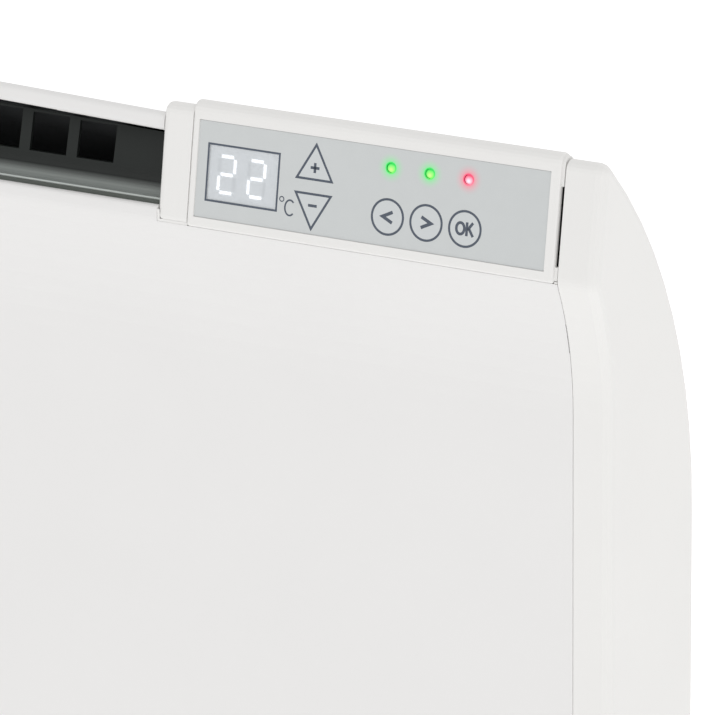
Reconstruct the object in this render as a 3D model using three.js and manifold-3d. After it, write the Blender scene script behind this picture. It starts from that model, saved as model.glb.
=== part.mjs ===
// Wall panel convector heater with a plug-in digital thermostat, in millimetres, +Z up.
// The wall is the plane y = 0 and the heater's front looks along -Y; +X is to the right seen from the front.
// The origin is the centre of the wall bracket's top rail, on the face that lies against the wall.
import * as THREE from 'three';
import { mergeVertices } from 'three/addons/utils/BufferGeometryUtils.js';
import Module from 'manifold-3d';

const wasm = await Module();
wasm.setup();

// ---------------------------------------------------------------- driving dimensions
const BODY_LENGTH = 725;
const BODY_HEIGHT = 350;
const WALL_GAP = 19.8; // wall to the back of the end caps
const FRONT_DEPTH = 75.3; // wall to the flat of the front panel
const FACE_DEPTH = 82.5; // wall to the middle of the control face
const FACE_SLANT = THREE.MathUtils.degToRad(9.6); // the control face leans back by this much
const SHEET = 1.2; // painted steel casing sheets
const THIN_SHEET = 1; // galvanised inner sheets
const FIT = 0.35; // clearance between neighbours
const JOINT = 0.18; // finer seam between flush faces in view
const RAIL_HEIGHT = BODY_HEIGHT - 105; // heater bottom to the bracket's top rail
const PANEL_TOP = 5.4; // front panel's hem above the beak
const FLANGE = 7.2; // return flanges of the sheets at the bottom inlet

const CAP_WIDTH = 12.7;
const CAP_WALL = 2.4;
const CAP_EDGE_RADIUS = 3;
const CAP_TOP_RADIUS = CAP_EDGE_RADIUS + 0.1; // between the control face and the crescent
const SPIGOT = 3; // tongue of an end cap behind the front panel, and its thickness
const SPIGOT_WALL = 1.5;
const CAP_INNER_EDGE = 0.35;
const BACK_ARC_RADIUS = 163; // crescent that carries the back over to the top edge
const BACK_ARC_BOTTOM = BODY_HEIGHT - 125.3; // height where the crescent leaves the flat back
const CASING_INSET = 0.8; // the steel back lies this much inside the end caps' outline
const REAR_CORNER_RADIUS = 8;
const FRONT_CORNER_RADIUS = 14;
const FLARE_RADIUS = 96; // the front panel sweeps forward to the beak on this arc
const BEAK_RADIUS = 7;

const LIP_HEIGHT = 6.8;
const LIP_SETBACK = 1.5;
const LIP_CROWN = 6.6; // how much higher the lip is at mid length than at its ends
const LIP_SEAM = 0.91; // the lip's rail meets the back here, as a part of the crescent's turn
const LIP_JOINT = 0.003; // gap in that seam, in the same measure
const CASING_BAYS = 16;
const LIP_END_RISE = 13.5; // lip top above the middle of the control face, at the ends
const OUTLET_PITCH = 17;
const OUTLET_BAR = 3.8;
const OUTLET_LEAN = THREE.MathUtils.degToRad(15);
const OUTLET_CURVE = 7;
const OUTLET_DEPTH = 7.5; // face middle to the foot of the leaning grille
const OUTLET_END = 22.1; // last slot to the control housing
const OUTLET_FLOOR = 11.7; // grille floor below the middle of the control face
const INLET_DEPTH = 19; // width of the bottom air inlet
const INLET_PITCH = 16.1;
const INLET_BAR = 4;

const OVERLAY_WIDTH = 118.6;
const OVERLAY_HEIGHT = 29.2;
const OVERLAY_THICKNESS = 0.5;
const BEZEL_LEFT = 2.3; // bezel beyond the overlay, on each side of it
const BEZEL_RIGHT = 3.4;
const BEZEL_BOTTOM = 3.3;
const BEZEL_TOP = 6.3;
const BEZEL_PROUD = 0.3;
const BEZEL_DEPTH = 9;
const BEZEL_WALL = 2.2;
const FLANK_FRONT = 1.4; // the module's black shell shows in its right flank from here inward
const HOUSING_BAR = 10.5;
const TONGUE = 4; // the housing's tongue behind the front panel
const HOUSING_INSET = 0.2; // housing's back inside the end caps' outline
const HOUSING_FOOT = BODY_HEIGHT - 45; // height where the housing's back stands on the casing
const ROOF_RISE = 1.2; // the module's roof stands this much proud of the end caps' outline
const ROOF_WALL = 2.2;
const ROOF_BACK = -66; // depth where the module's roof ends
const FLANGE_STEP = 2.5; // bezel flange that laps the housing, and its thickness
const SHELL_BACK = 23; // back of the module, inward from the control face
const SHELL_INSET = 3; // module shell inside the end caps' outline
const MODULE_GAP = 1.2; // dark gap between the module and the right end cap
const KEY_RADIUS = 5.23;
const KEY_PITCH = 12.98;
const KEY_ROW = -5.9; // height of the round keys on the face
const FIRST_KEY = 6.55;
const KEY_TRAVEL = 0.4;
const LED_ROW = 8.7;
const LED_RADIUS = 1.5;
const TRIANGLE_SIDE = 12;
const TRIANGLE_MIDDLE = -18.95;
const TRIANGLE_SPLIT = 4.4; // between the bases of the two triangles
const WINDOW_LEFT = -55.7;
const WINDOW_WIDTH = 24.5;
const WINDOW_BOTTOM = -9.2;
const WINDOW_HEIGHT = 17.1;
const DIGIT_HEIGHT = 10.9;
const DIGIT_WIDTH = 5.4;
const DIGIT_PITCH = 10.35;
const DIGIT_SHIFT = [-0.9, -0.4]; // middle of the digits from the middle of the window
const BOARD_FRONT = 7.4; // control board behind the face
const BOARD_THICKNESS = 1.6;

const ELEMENT_HEIGHT = 112; // above the heater's bottom
const ELEMENT_DEPTH = 50; // from the wall
const ELEMENT_REACH = 17; // half width over the fins
const ELEMENT_LEFT_GAP = 70; // between the element and the left end cap
const ELEMENT_RIGHT_GAP = 36; // between the element and the bulkhead
const ELECTRICS_LENGTH = 124; // bulkhead to the right end cap

const BRACKET_SHEET = 2;
const RAIL_LENGTH = 420;
const RAIL_WIDTH = 44;
const STRAP_X = 170;
const STRAP_WIDTH = 46;
const STRAP_FOOT = 44; // height of the straps' lower hooks
const HOOK_WIDTH = 24;
const HOOK_LIP = 6;
const LATCH_WIDTH = 18;
const LATCH_TRAVEL = 7;
const SPRING_RADIUS = 3;
const SPRING_WIRE = 0.37;
const SPRING_COILS = 9;
const SPRING_LENGTH = 22;

const SWITCH_HEIGHT = 62; // above the heater's bottom
const SWITCH_DEPTH = 49; // from the wall
const SWITCH_WALL = 1.2;
const SWITCH_FLANGE = 1; // how far its rim stands out of the end cap
const ROCKER_RADIUS = 9.4; // its ends turn on this radius
const ROCKER_TILT = THREE.MathUtils.degToRad(9);
const ROCKER_WIDTH = 10;
const PIVOT_DEPTH = 2.2; // rocker pivot under the rim of its frame
const PIN_RADIUS = 1.2;

const QUARTER_STEPS = 4; // facets in a quarter turn of a small fillet; a large one has twice as many
const LARGE_RADIUS = 5;

// ---------------------------------------------------------------- derived places
const HALF = BODY_LENGTH / 2;
const CAP_INNER = HALF - CAP_WIDTH;
const SHEET_END = CAP_INNER - JOINT;
const overlayTop = OVERLAY_HEIGHT / 2;
const overlayRight = OVERLAY_WIDTH / 2;
const bezelTop = overlayTop + BEZEL_TOP;
const bezelBottom = -overlayTop - BEZEL_BOTTOM;
const bezelLeft = -overlayRight - BEZEL_LEFT;
const bezelRight = overlayRight + BEZEL_RIGHT;
const housingLeft = bezelLeft - JOINT - HOUSING_BAR;
const housingBottom = bezelBottom;
const MODULE_X = CAP_INNER - MODULE_GAP - bezelRight;
const FACE_HEIGHT = BODY_HEIGHT - bezelTop * Math.cos(FACE_SLANT);
const BACK_Y = -(WALL_GAP + CASING_INSET);
const inletFront = -(WALL_GAP + 13 + INLET_DEPTH);
const inletBack = inletFront + INLET_DEPTH;
const housingX = MODULE_X + housingLeft;
const bulkheadX = CAP_INNER - ELECTRICS_LENGTH; // sheet between the hot chamber and the electrical end

// ---------------------------------------------------------------- materials
const finish = (color, roughness, metalness = 0) =>
  new THREE.MeshStandardMaterial({ color, roughness, metalness });
const whitePaint = finish(0xe9e9e7, 0.45);
const whitePlastic = finish(0xeaeae7, 0.4);
const silverFoil = finish(0xcbcfce, 0.5);
const keyFoil = finish(0xd2d5d8, 0.5);
const galvanised = finish(0x9ea3a3, 0.35, 0.9);
const darkSheet = finish(0x54595a, 0.4, 0.8);
const aluminium = finish(0xb9bcbe, 0.4, 1);
const zinc = finish(0xb4b7ba, 0.3, 1);
const springSteel = finish(0x8d9094, 0.3, 1);
const brass = finish(0xc2a254, 0.3, 1);
const ceramic = finish(0xe8e2d4, 0.6);
const blackPlastic = finish(0x1d1e20, 0.5);
const greyPlastic = finish(0x8a8d90, 0.5);
const boardGreen = finish(0x2f6a46, 0.5);
const greenLens = finish(0x4fe06a, 0.2);
const redLens = finish(0xf0405a, 0.2);
const greyTint = finish(0xd4d8de, 0.25);
const redInsulation = finish(0xa33a32, 0.6);
const blueInsulation = finish(0x2f4f8f, 0.6);
const whiteInsulation = finish(0xdedbd2, 0.6);

// ---------------------------------------------------------------- scene graph
const product = new THREE.Group();
const heater = new THREE.Group(); // z = 0 is the heater's bottom in here
heater.position.z = -RAIL_HEIGHT;
product.add(heater);

// Control face: x to the right, z up the slanted face, y into the heater.
const face = new THREE.Group();
face.position.set(MODULE_X, -FACE_DEPTH, FACE_HEIGHT);
face.rotation.x = -FACE_SLANT;
heater.add(face);

const electrics = new THREE.Group();
electrics.position.x = bulkheadX;
heater.add(electrics);

function addPart(name, geometry, material, parent = heater) {
  const part = new THREE.Mesh(geometry, material);
  part.name = name;
  geometry.computeVertexNormals();
  parent.add(part);
  return part;
}

// ---------------------------------------------------------------- solids
function toSolid(geometry) {
  const bare = geometry.clone();
  bare.deleteAttribute('normal');
  bare.deleteAttribute('uv');
  const merged = mergeVertices(bare, 1e-4);
  return new wasm.Manifold(new wasm.Mesh({
    numProp: 3,
    vertProperties: new Float32Array(merged.attributes.position.array),
    triVerts: new Uint32Array(merged.index.array),
  }));
}

function toGeometry(solid) {
  const mesh = solid.getMesh();
  const geometry = new THREE.BufferGeometry();
  geometry.setAttribute('position', new THREE.BufferAttribute(mesh.vertProperties, 3));
  geometry.setIndex(new THREE.BufferAttribute(mesh.triVerts, 1));
  return geometry;
}

function cut(geometry, tools) {
  const solid = tools.reduce((left, tool) => left.subtract(toSolid(tool)), toSolid(geometry));
  return toGeometry(solid);
}

function join(geometries) {
  const solids = geometries.map(toSolid);
  return toGeometry(solids.reduce((all, solid) => all.add(solid)));
}

function box(x0, x1, y0, y1, z0, z1) {
  const shape = new THREE.BoxGeometry(x1 - x0, y1 - y0, z1 - z0);
  return shape.translate((x0 + x1) / 2, (y0 + y1) / 2, (z0 + z1) / 2);
}

function cylinder(axis, radius, from, to, across, up, sides = 20) {
  const shape = new THREE.CylinderGeometry(radius, radius, to - from, sides);
  shape.translate(0, (from + to) / 2, 0);
  if (axis === 'x') return shape.rotateZ(-Math.PI / 2).translate(0, across, up);
  if (axis === 'z') return shape.rotateX(Math.PI / 2).translate(across, up, 0);
  return shape.translate(across, 0, up);
}

// A turned piece whose axis is Y; profile points are [radius, y].
function turned(profile, sides = 24) {
  const points = profile.map(([radius, y]) => new THREE.Vector2(radius, y));
  return upright(new THREE.LatheGeometry(points, sides));
}

function signedVolume(geometry) {
  const position = geometry.attributes.position;
  const index = geometry.index ? geometry.index.array : [...Array(position.count).keys()];
  const [a, b, c] = [new THREE.Vector3(), new THREE.Vector3(), new THREE.Vector3()];
  let volume = 0;
  for (let i = 0; i < index.length; i += 3) {
    a.fromBufferAttribute(position, index[i]);
    b.fromBufferAttribute(position, index[i + 1]);
    c.fromBufferAttribute(position, index[i + 2]);
    volume += a.dot(b.cross(c));
  }
  return volume;
}

// Turns the faces outwards where a profile ran the other way round.
function upright(geometry) {
  if (signedVolume(geometry) > 0) return geometry;
  const index = geometry.index.array;
  for (let i = 0; i < index.length; i += 3) {
    [index[i + 1], index[i + 2]] = [index[i + 2], index[i + 1]];
  }
  return geometry;
}

// ---------------------------------------------------------------- profiles, as [y, z] points
// Corners are [y, z] or [y, z, radius]; a radius becomes a faceted fillet.
function rounded(corners, closed = false) {
  const count = corners.length;
  const points = [];
  corners.forEach(([y, z, radius], i) => {
    const isEnd = !closed && (i === 0 || i === count - 1);
    if (!radius || isEnd) {
      points.push([y, z]);
      return;
    }
    const corner = new THREE.Vector2(y, z);
    const before = new THREE.Vector2(...corners[(i - 1 + count) % count]).sub(corner).normalize();
    const after = new THREE.Vector2(...corners[(i + 1) % count]).sub(corner).normalize();
    const halfAngle = Math.acos(THREE.MathUtils.clamp(before.dot(after), -1, 1)) / 2;
    const middle = before.clone().add(after).normalize();
    const centre = corner.clone().addScaledVector(middle, radius / Math.sin(halfAngle));
    const start = corner.clone().addScaledVector(before, radius / Math.tan(halfAngle)).sub(centre);
    const turn = Math.PI - 2 * halfAngle;
    const side = Math.sign(before.cross(after)) || 1;
    const quarter = radius > LARGE_RADIUS ? 2 * QUARTER_STEPS : QUARTER_STEPS;
    const steps = Math.max(1, Math.ceil(turn / (Math.PI / 2) * quarter));
    for (let s = 0; s <= steps; s += 1) {
      const spoke = start.clone().rotateAround(new THREE.Vector2(), -side * turn * s / steps);
      points.push([centre.x + spoke.x, centre.y + spoke.y]);
    }
  });
  return points;
}

// Moves a polyline sideways, to its right seen along its run.
function offsetPath(points, distance, closed = false) {
  const count = points.length;
  return points.map(([y, z], i) => {
    const here = new THREE.Vector2(y, z);
    const hasBefore = closed || i > 0;
    const hasAfter = closed || i < count - 1;
    const before = hasBefore && here.clone().sub(new THREE.Vector2(...points[(i - 1 + count) % count]));
    const after = hasAfter && new THREE.Vector2(...points[(i + 1) % count]).sub(here);
    const first = (before || after).normalize();
    const second = (after || before).normalize();
    const across = new THREE.Vector2(first.y + second.y, -first.x - second.x);
    const stretch = distance / (1 + first.dot(second));
    return [y + across.x * stretch, z + across.y * stretch];
  });
}

// Outline of a bent sheet: the path is one face and the other lies a thickness to its right.
function sheetOutline(path, thickness) {
  return [...path, ...offsetPath(path, thickness).reverse()];
}

function isClockwise(outline) {
  return THREE.ShapeUtils.area(outline.map(([y, z]) => new THREE.Vector2(y, z))) < 0;
}

function inset(outline, distance) {
  return offsetPath(outline, isClockwise(outline) ? distance : -distance, true);
}

// Solid through [x, outline] sections that all have the same number of points.
function loft(sections) {
  const turn = isClockwise(sections[0][1]);
  const outlines = sections.map(([, outline]) => (turn ? [...outline].reverse() : outline));
  const size = outlines[0].length;
  const positions = sections.flatMap(([x], s) => outlines[s].flatMap(([y, z]) => [x, y, z]));
  const index = [];
  for (let s = 0; s < sections.length - 1; s += 1) {
    for (let i = 0; i < size; i += 1) {
      const next = (i + 1) % size;
      const [a, b] = [s * size + i, s * size + next];
      index.push(a, b, b + size, a, b + size, a + size);
    }
  }
  const lid = (outline) => {
    const contour = outline.map(([y, z]) => new THREE.Vector2(y, z));
    return THREE.ShapeUtils.triangulateShape(contour, []);
  };
  const last = (sections.length - 1) * size;
  lid(outlines[0]).forEach(([a, b, c]) => index.push(a, c, b));
  lid(outlines[outlines.length - 1]).forEach(([a, b, c]) => index.push(last + a, last + b, last + c));
  const geometry = new THREE.BufferGeometry();
  geometry.setAttribute('position', new THREE.Float32BufferAttribute(positions, 3));
  geometry.setIndex(index);
  return geometry;
}

const prism = (outline, x0, x1) => loft([[x0, outline], [x1, outline]]);

// Sections that round one rim of a prism, from its full outline to its end at x.
function rim(outline, x, radius, outward, steps) {
  if (!radius) return [[x, outline]];
  return Array.from({ length: steps + 1 }, (_, s) => {
    const angle = (Math.PI / 2) * (s / steps);
    const back = radius * (1 - Math.sin(angle));
    return [x - outward * back, inset(outline, radius * (1 - Math.cos(angle)))];
  });
}

// Prism along X with rounded rims; a radius of 0 leaves that rim sharp.
function softPrism(outline, x0, x1, radius0, radius1, steps = 3) {
  const start = rim(outline, x0, radius0, -1, steps).reverse();
  return loft([...start, ...rim(outline, x1, radius1, 1, steps)]);
}

// Tube along a smooth curve through points, for the wires inside.
function tube(points, radius, steps, sides = 6) {
  const section = new THREE.Shape(new THREE.EllipseCurve(0, 0, radius, radius).getPoints(sides).slice(0, sides));
  const route = new THREE.CatmullRomCurve3(points.map(([x, y, z]) => new THREE.Vector3(x, y, z)));
  return new THREE.ExtrudeGeometry(section, { extrudePath: route, steps, bevelEnabled: false });
}

// ---------------------------------------------------------------- shared outlines
// A point of the control face: inward from it and up along it.
function facePoint(inward, up, radius) {
  const y = -FACE_DEPTH + up * Math.sin(FACE_SLANT) + inward * Math.cos(FACE_SLANT);
  const z = FACE_HEIGHT + up * Math.cos(FACE_SLANT) - inward * Math.sin(FACE_SLANT);
  return radius ? [y, z, radius] : [y, z];
}

// The front's sweep from its flat up to the beak, as [y, z] points from the bottom up.
function flare(steps = 8) {
  const [beakY] = facePoint(0, bezelBottom);
  const turn = Math.acos(1 - (-FRONT_DEPTH - beakY) / FLARE_RADIUS);
  const start = facePoint(0, bezelBottom)[1] - FLARE_RADIUS * Math.sin(turn);
  return Array.from({ length: steps }, (_, s) => {
    const angle = turn * s / steps;
    return [-FRONT_DEPTH - FLARE_RADIUS * (1 - Math.cos(angle)), start + FLARE_RADIUS * Math.sin(angle)];
  });
}

// The crescent of the back, inset from the end caps' outline, between two depths or down to its foot.
function crescent(insetBy, fromY, toY = -WALL_GAP - insetBy, steps = 10) {
  const radius = BACK_ARC_RADIUS - insetBy;
  const centre = -WALL_GAP - BACK_ARC_RADIUS;
  const high = Math.acos((fromY - centre) / radius);
  const low = Math.acos(Math.min(1, (toY - centre) / radius));
  return Array.from({ length: steps + 1 }, (_, s) => {
    const angle = high + (low - high) * s / steps;
    return [centre + radius * Math.cos(angle), BACK_ARC_BOTTOM + radius * Math.sin(angle)];
  });
}

const crescentHeight = (insetBy, y) => crescent(insetBy, y)[0][1];

// Where the crescent, inset, meets the plane that lies `inward` behind the control face.
function crescentFaceCorner(insetBy, inward = 0) {
  let up = overlayTop;
  for (let step = 0; step < 20; step += 1) {
    const [y, z] = facePoint(inward, up);
    up += (crescentHeight(insetBy, y) - z) / 2;
  }
  return facePoint(inward, up);
}

// Side outline of the end caps, counter-clockwise seen from the right, starting at the lower back.
function capOutline() {
  const [topY, topZ] = crescentFaceCorner(0);
  return rounded([
    ...crescent(0, topY + 2 * CAP_TOP_RADIUS).reverse(),
    [topY, topZ, CAP_TOP_RADIUS],
    facePoint(0, bezelBottom, BEAK_RADIUS),
    ...flare().reverse(),
    [-FRONT_DEPTH, 0, FRONT_CORNER_RADIUS],
    [-WALL_GAP, 0, REAR_CORNER_RADIUS],
  ], true);
}

// ---------------------------------------------------------------- casing sheets
const panelHem = bezelBottom + PANEL_TOP;

// Outer face of the front panel from its bottom flange up to its hem.
function panelPath() {
  return rounded([
    [inletFront, CASING_INSET + FLANGE],
    [inletFront, CASING_INSET, 1.5],
    [-FRONT_DEPTH, CASING_INSET, FRONT_CORNER_RADIUS],
    ...flare(),
    facePoint(0, bezelBottom, BEAK_RADIUS),
    facePoint(0, panelHem, 1.4),
    facePoint(5, panelHem - 1.6),
  ]);
}

function faceBox(x0, x1, inward0, inward1, up0, up1) {
  const tool = box(x0, x1, inward0, inward1, up0, up1).rotateX(-FACE_SLANT);
  return tool.translate(MODULE_X, -FACE_DEPTH, FACE_HEIGHT);
}

function frontPanel() {
  const sheet = prism(sheetOutline(panelPath(), SHEET), -SHEET_END, SHEET_END);
  return cut(sheet, [faceBox(housingLeft - JOINT, CAP_INNER, -5, 12, housingBottom - JOINT, 0)]);
}

// Top edge of the rear casing's lip: an arch that is highest at mid length.
function lipTop(x) {
  const rise = LIP_END_RISE + LIP_CROWN * (1 + Math.cos(Math.PI * x / CAP_INNER)) / 2;
  return (rise + LIP_SETBACK * Math.sin(FACE_SLANT)) / Math.cos(FACE_SLANT);
}

// Circle of the casing's crescent at x: it leaves the flat back and ends at the lip.
function casingCircle(x) {
  const [lipY, lipZ] = facePoint(LIP_SETBACK, lipTop(x));
  const [depth, height] = [BACK_Y - lipY, lipZ - BACK_ARC_BOTTOM];
  const radius = (depth * depth + height * height) / (2 * depth);
  return { radius, centreY: BACK_Y - radius, turn: Math.asin(height / radius) };
}

// Points of that circle between two fractions of its turn.
function casingArc(x, from, to, steps) {
  const { radius, centreY, turn } = casingCircle(x);
  return Array.from({ length: steps + 1 }, (_, s) => {
    const angle = turn * (from + (to - from) * s / steps);
    return [centreY + radius * Math.cos(angle), BACK_ARC_BOTTOM + radius * Math.sin(angle)];
  });
}

const backFoot = [
  [BACK_Y, CASING_INSET, REAR_CORNER_RADIUS],
  [inletBack, CASING_INSET, 1.5],
  [inletBack, CASING_INSET + FLANGE],
];

const rearSection = (x) => sheetOutline(rounded([...casingArc(x, LIP_SEAM - LIP_JOINT, 0, 10), ...backFoot]), SHEET);

// The folded rail along the top of the outlet, whose front is the lip.
function lipSection(x) {
  const top = lipTop(x);
  return sheetOutline(rounded([
    facePoint(LIP_SETBACK + 3, top - LIP_HEIGHT),
    facePoint(LIP_SETBACK, top - LIP_HEIGHT, 1.4),
    facePoint(LIP_SETBACK, top, 1.7),
    ...casingArc(x, 0.97, LIP_SEAM, 3),
  ]), SHEET);
}

// Sheet of the casing's whole length, cut out round the control housing.
function casingSheet(section) {
  const sections = Array.from({ length: CASING_BAYS + 1 }, (_, i) => {
    const x = SHEET_END * (2 * i / CASING_BAYS - 1);
    return [x, section(x)];
  });
  return cut(loft(sections), [box(housingX - FIT, HALF, -HALF, -WALL_GAP, HOUSING_FOOT, BODY_HEIGHT)]);
}

const outletLip = () => casingSheet(lipSection);

const footTop = STRAP_FOOT + BRACKET_SHEET;
const noseHeight = RAIL_HEIGHT + 1;
const noseTop = noseHeight + BRACKET_SHEET;
const GLAND = { x: 92, z: 42, thread: 6.1, bore: 3.4 }; // x from the bulkhead
const COVER = { left: 30, top: 98, clip: 64 }; // from the bulkhead and the heater's bottom
const innerBack = BACK_Y - SHEET;

function backSlot(x, width, bottom, top) {
  return box(x - width / 2, x + width / 2, BACK_Y - 4, BACK_Y + 2, bottom, top);
}

function rearCasing() {
  const slots = [-STRAP_X, STRAP_X].flatMap((x) => [
    backSlot(x, HOOK_WIDTH + 1, STRAP_FOOT - HOOK_LIP - 2 * FIT, footTop + FIT),
    backSlot(x, LATCH_WIDTH + 1, noseHeight - LATCH_TRAVEL - 1, noseTop + FIT),
  ]);
  const corner = box(bulkheadX + COVER.left, HALF, -FRONT_DEPTH, 0, -1, COVER.top);
  return cut(casingSheet(rearSection), [corner, ...slots]);
}

// Cover over the terminals, at the right end of the casing's foot, with a clip for the room sensor inside.
function terminalCover() {
  const outline = sheetOutline(rounded([[BACK_Y, COVER.top - FIT], ...backFoot]), SHEET);
  const [x, y] = [COVER.clip, innerBack];
  const cover = join([
    prism(outline, COVER.left + FIT, SHEET_END - bulkheadX),
    box(x, x + 10, y - 8, y + 0.3, 14, 15.2),
    box(x, x + 10, y - 8, y - 7, 15, 17),
  ]);
  return cut(cover, [cylinder('y', GLAND.thread + FIT, BACK_Y - 4, BACK_Y + 2, GLAND.x, GLAND.z)]);
}

// Flat sheet that closes the casing across its length at x.
function crossOutline(x) {
  const clearance = SHEET + FIT;
  const top = HOUSING_FOOT - 9;
  const { radius, centreY } = casingCircle(x);
  const reach = Math.asin((top - BACK_ARC_BOTTOM) / (radius - clearance));
  const arc = Array.from({ length: 7 }, (_, s) => {
    const angle = reach * (1 - s / 6);
    return [centreY + (radius - clearance) * Math.cos(angle),
      BACK_ARC_BOTTOM + (radius - clearance) * Math.sin(angle)];
  });
  return [
    [clearance - FRONT_DEPTH, top],
    ...arc,
    [BACK_Y - clearance, FRONT_CORNER_RADIUS],
    [clearance - FRONT_DEPTH, FRONT_CORNER_RADIUS],
  ];
}

const sidePlateX = CAP_INNER - SPIGOT - FIT - THIN_SHEET;
const BOSS_PLACES = [[-46, 26], [-54, 280]];
const BOSS_RADIUS = 3.6;
const SCREW_RADIUS = 1.4;

function sidePlate(side) {
  const outline = crossOutline(sidePlateX);
  const plate = prism(outline, sidePlateX, sidePlateX + THIN_SHEET);
  const holes = BOSS_PLACES.map(([y, z]) =>
    cylinder('x', SCREW_RADIUS + FIT, sidePlateX - 1, sidePlateX + 3, y, z, 12));
  const rocker = switchBox(sidePlateX - 1, sidePlateX + 3, 2 * FIT);
  const geometry = cut(plate, side > 0 ? [...holes, rocker] : holes);
  return side > 0 ? geometry : mirrored(geometry);
}

function mirrored(geometry) {
  geometry.scale(-1, 1, 1);
  const index = geometry.index.array;
  for (let i = 0; i < index.length; i += 3) [index[i + 1], index[i + 2]] = [index[i + 2], index[i + 1]];
  return geometry;
}

function bulkhead() {
  const plate = prism(crossOutline(bulkheadX), bulkheadX, bulkheadX + THIN_SHEET);
  return cut(plate, [cylinder('x', 5, bulkheadX - 2, bulkheadX + 3, -ELEMENT_DEPTH, ELEMENT_HEIGHT, 16)]);
}

// ---------------------------------------------------------------- end caps
function endCap(side) {
  const outline = capOutline();
  const shell = softPrism(outline, CAP_INNER, HALF, CAP_INNER_EDGE, CAP_EDGE_RADIUS);
  const pocket = prism(inset(outline, CAP_WALL), CAP_INNER - 1, HALF - CAP_WALL);
  const ribs = [90, 225].map((z) =>
    box(CAP_INNER + 1, HALF - 1, -FRONT_DEPTH + 1, -WALL_GAP - 1, z, z + 1.4));
  const bosses = BOSS_PLACES.map(([y, z]) =>
    cylinder('x', BOSS_RADIUS, sidePlateX + THIN_SHEET + FIT, HALF - 1, y, z, 16));
  const bores = BOSS_PLACES.map(([y, z]) =>
    cylinder('x', SCREW_RADIUS + 0.1, sidePlateX, HALF - 4, y, z, 12));
  const spigotPath = offsetPath([[-FRONT_DEPTH, 2 * FRONT_CORNER_RADIUS], ...flare()], SHEET + FIT);
  const spigot = prism(sheetOutline(spigotPath, SPIGOT_WALL), CAP_INNER - SPIGOT, CAP_INNER + CAP_WALL);
  const hollow = join([cut(shell, [pocket]), spigot, ...ribs, ...bosses]);
  const opening = switchBox(CAP_INNER - 1, HALF + 1, FIT);
  const cap = cut(hollow, side > 0 ? [...bores, opening] : bores);
  return side > 0 ? cap : mirrored(cap);
}

function capScrew([y, z], side) {
  const head = sidePlateX - FIT;
  const screw = turnedX([[0, head - 2], [2.2, head - 2], [2.9, head - 1], [2.9, head],
    [SCREW_RADIUS - 0.05, head], [SCREW_RADIUS - 0.05, HALF - 5], [0, HALF - 5]], 12).translate(0, y, z);
  return side > 0 ? screw : mirrored(screw);
}

// A turned piece whose axis is X; profile points are [radius, x].
function turnedX(profile, sides) {
  return turned(profile, sides).rotateZ(-Math.PI / 2);
}

// ---------------------------------------------------------------- air outlet and inlet
const grilleFloor = FACE_HEIGHT - OUTLET_FLOOR;
const grilleFoot = OUTLET_DEPTH - FACE_DEPTH;
const sillReach = OUTLET_CURVE * Math.tan((Math.PI / 2 - OUTLET_LEAN) / 2) + 0.2;
const sillEnd = [grilleFoot + sillReach * Math.sin(OUTLET_LEAN), grilleFloor + sillReach * Math.cos(OUTLET_LEAN)];

// Where the leaning grille meets the casing's inner face, less a clearance.
function grilleTop(x, clearance) {
  const { radius, centreY } = casingCircle(x);
  const reach = radius - SHEET - clearance;
  const [dy, dz] = [Math.sin(OUTLET_LEAN), Math.cos(OUTLET_LEAN)];
  const [py, pz] = [grilleFoot - centreY, grilleFloor - BACK_ARC_BOTTOM];
  const along = py * dy + pz * dz;
  const length = -along + Math.sqrt(along * along - (py * py + pz * pz - reach * reach));
  return [grilleFoot + length * dy, grilleFloor + length * dz];
}

// Outline of a sheet whose upper face follows the path, from front to back.
const trayOutline = (path) => sheetOutline(path.reverse(), -THIN_SHEET).reverse();

// Curved foot of the outlet, from the front panel's hem up to the slots.
function outletSill() {
  const path = rounded([[grilleFoot - OUTLET_DEPTH + 2, grilleFloor], [grilleFoot, grilleFloor, OUTLET_CURVE], sillEnd]);
  return prism(trayOutline(path), -SHEET_END, housingX - FIT);
}

function outletGrille() {
  const [left, right] = [-SHEET_END, housingX - FIT];
  const bays = 13;
  const sheet = loft(Array.from({ length: bays + 1 }, (_, i) => {
    const x = left + (right - left) * i / bays;
    return [x, trayOutline([sillEnd, grilleTop(x, FIT + THIN_SHEET)])];
  }));
  const count = Math.floor((right - left - 2 * OUTLET_PITCH) / OUTLET_PITCH);
  const slots = Array.from({ length: count }, (_, i) => {
    const x = right - OUTLET_END - (i + 1) * OUTLET_PITCH + OUTLET_BAR;
    const top = grilleTop(x + OUTLET_PITCH / 2, FIT + THIN_SHEET + 0.6)[1];
    return box(x, x + OUTLET_PITCH - OUTLET_BAR, grilleFoot - 4, grilleFoot + 14, sillEnd[1] + 0.6, top);
  });
  return cut(sheet, slots);
}

function inletGrille() {
  const [front, back] = [inletFront + FIT, inletBack - FIT];
  const web = CASING_INSET + 1.4;
  const outline = sheetOutline(rounded([
    [back, CASING_INSET + FLANGE], [back, web, 1.2], [front, web, 1.2], [front, CASING_INSET + FLANGE],
  ]), THIN_SHEET);
  const reach = SHEET_END - FIT;
  const count = Math.floor(2 * (reach - 12) / INLET_PITCH);
  const slots = Array.from({ length: count }, (_, i) => {
    const x = (i - count / 2) * INLET_PITCH + INLET_BAR / 2;
    return box(x, x + INLET_PITCH - INLET_BAR, front + 3.5, back - 3.5, web - 1, web + 2);
  });
  return cut(prism(outline, -reach, reach), slots);
}

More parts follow.
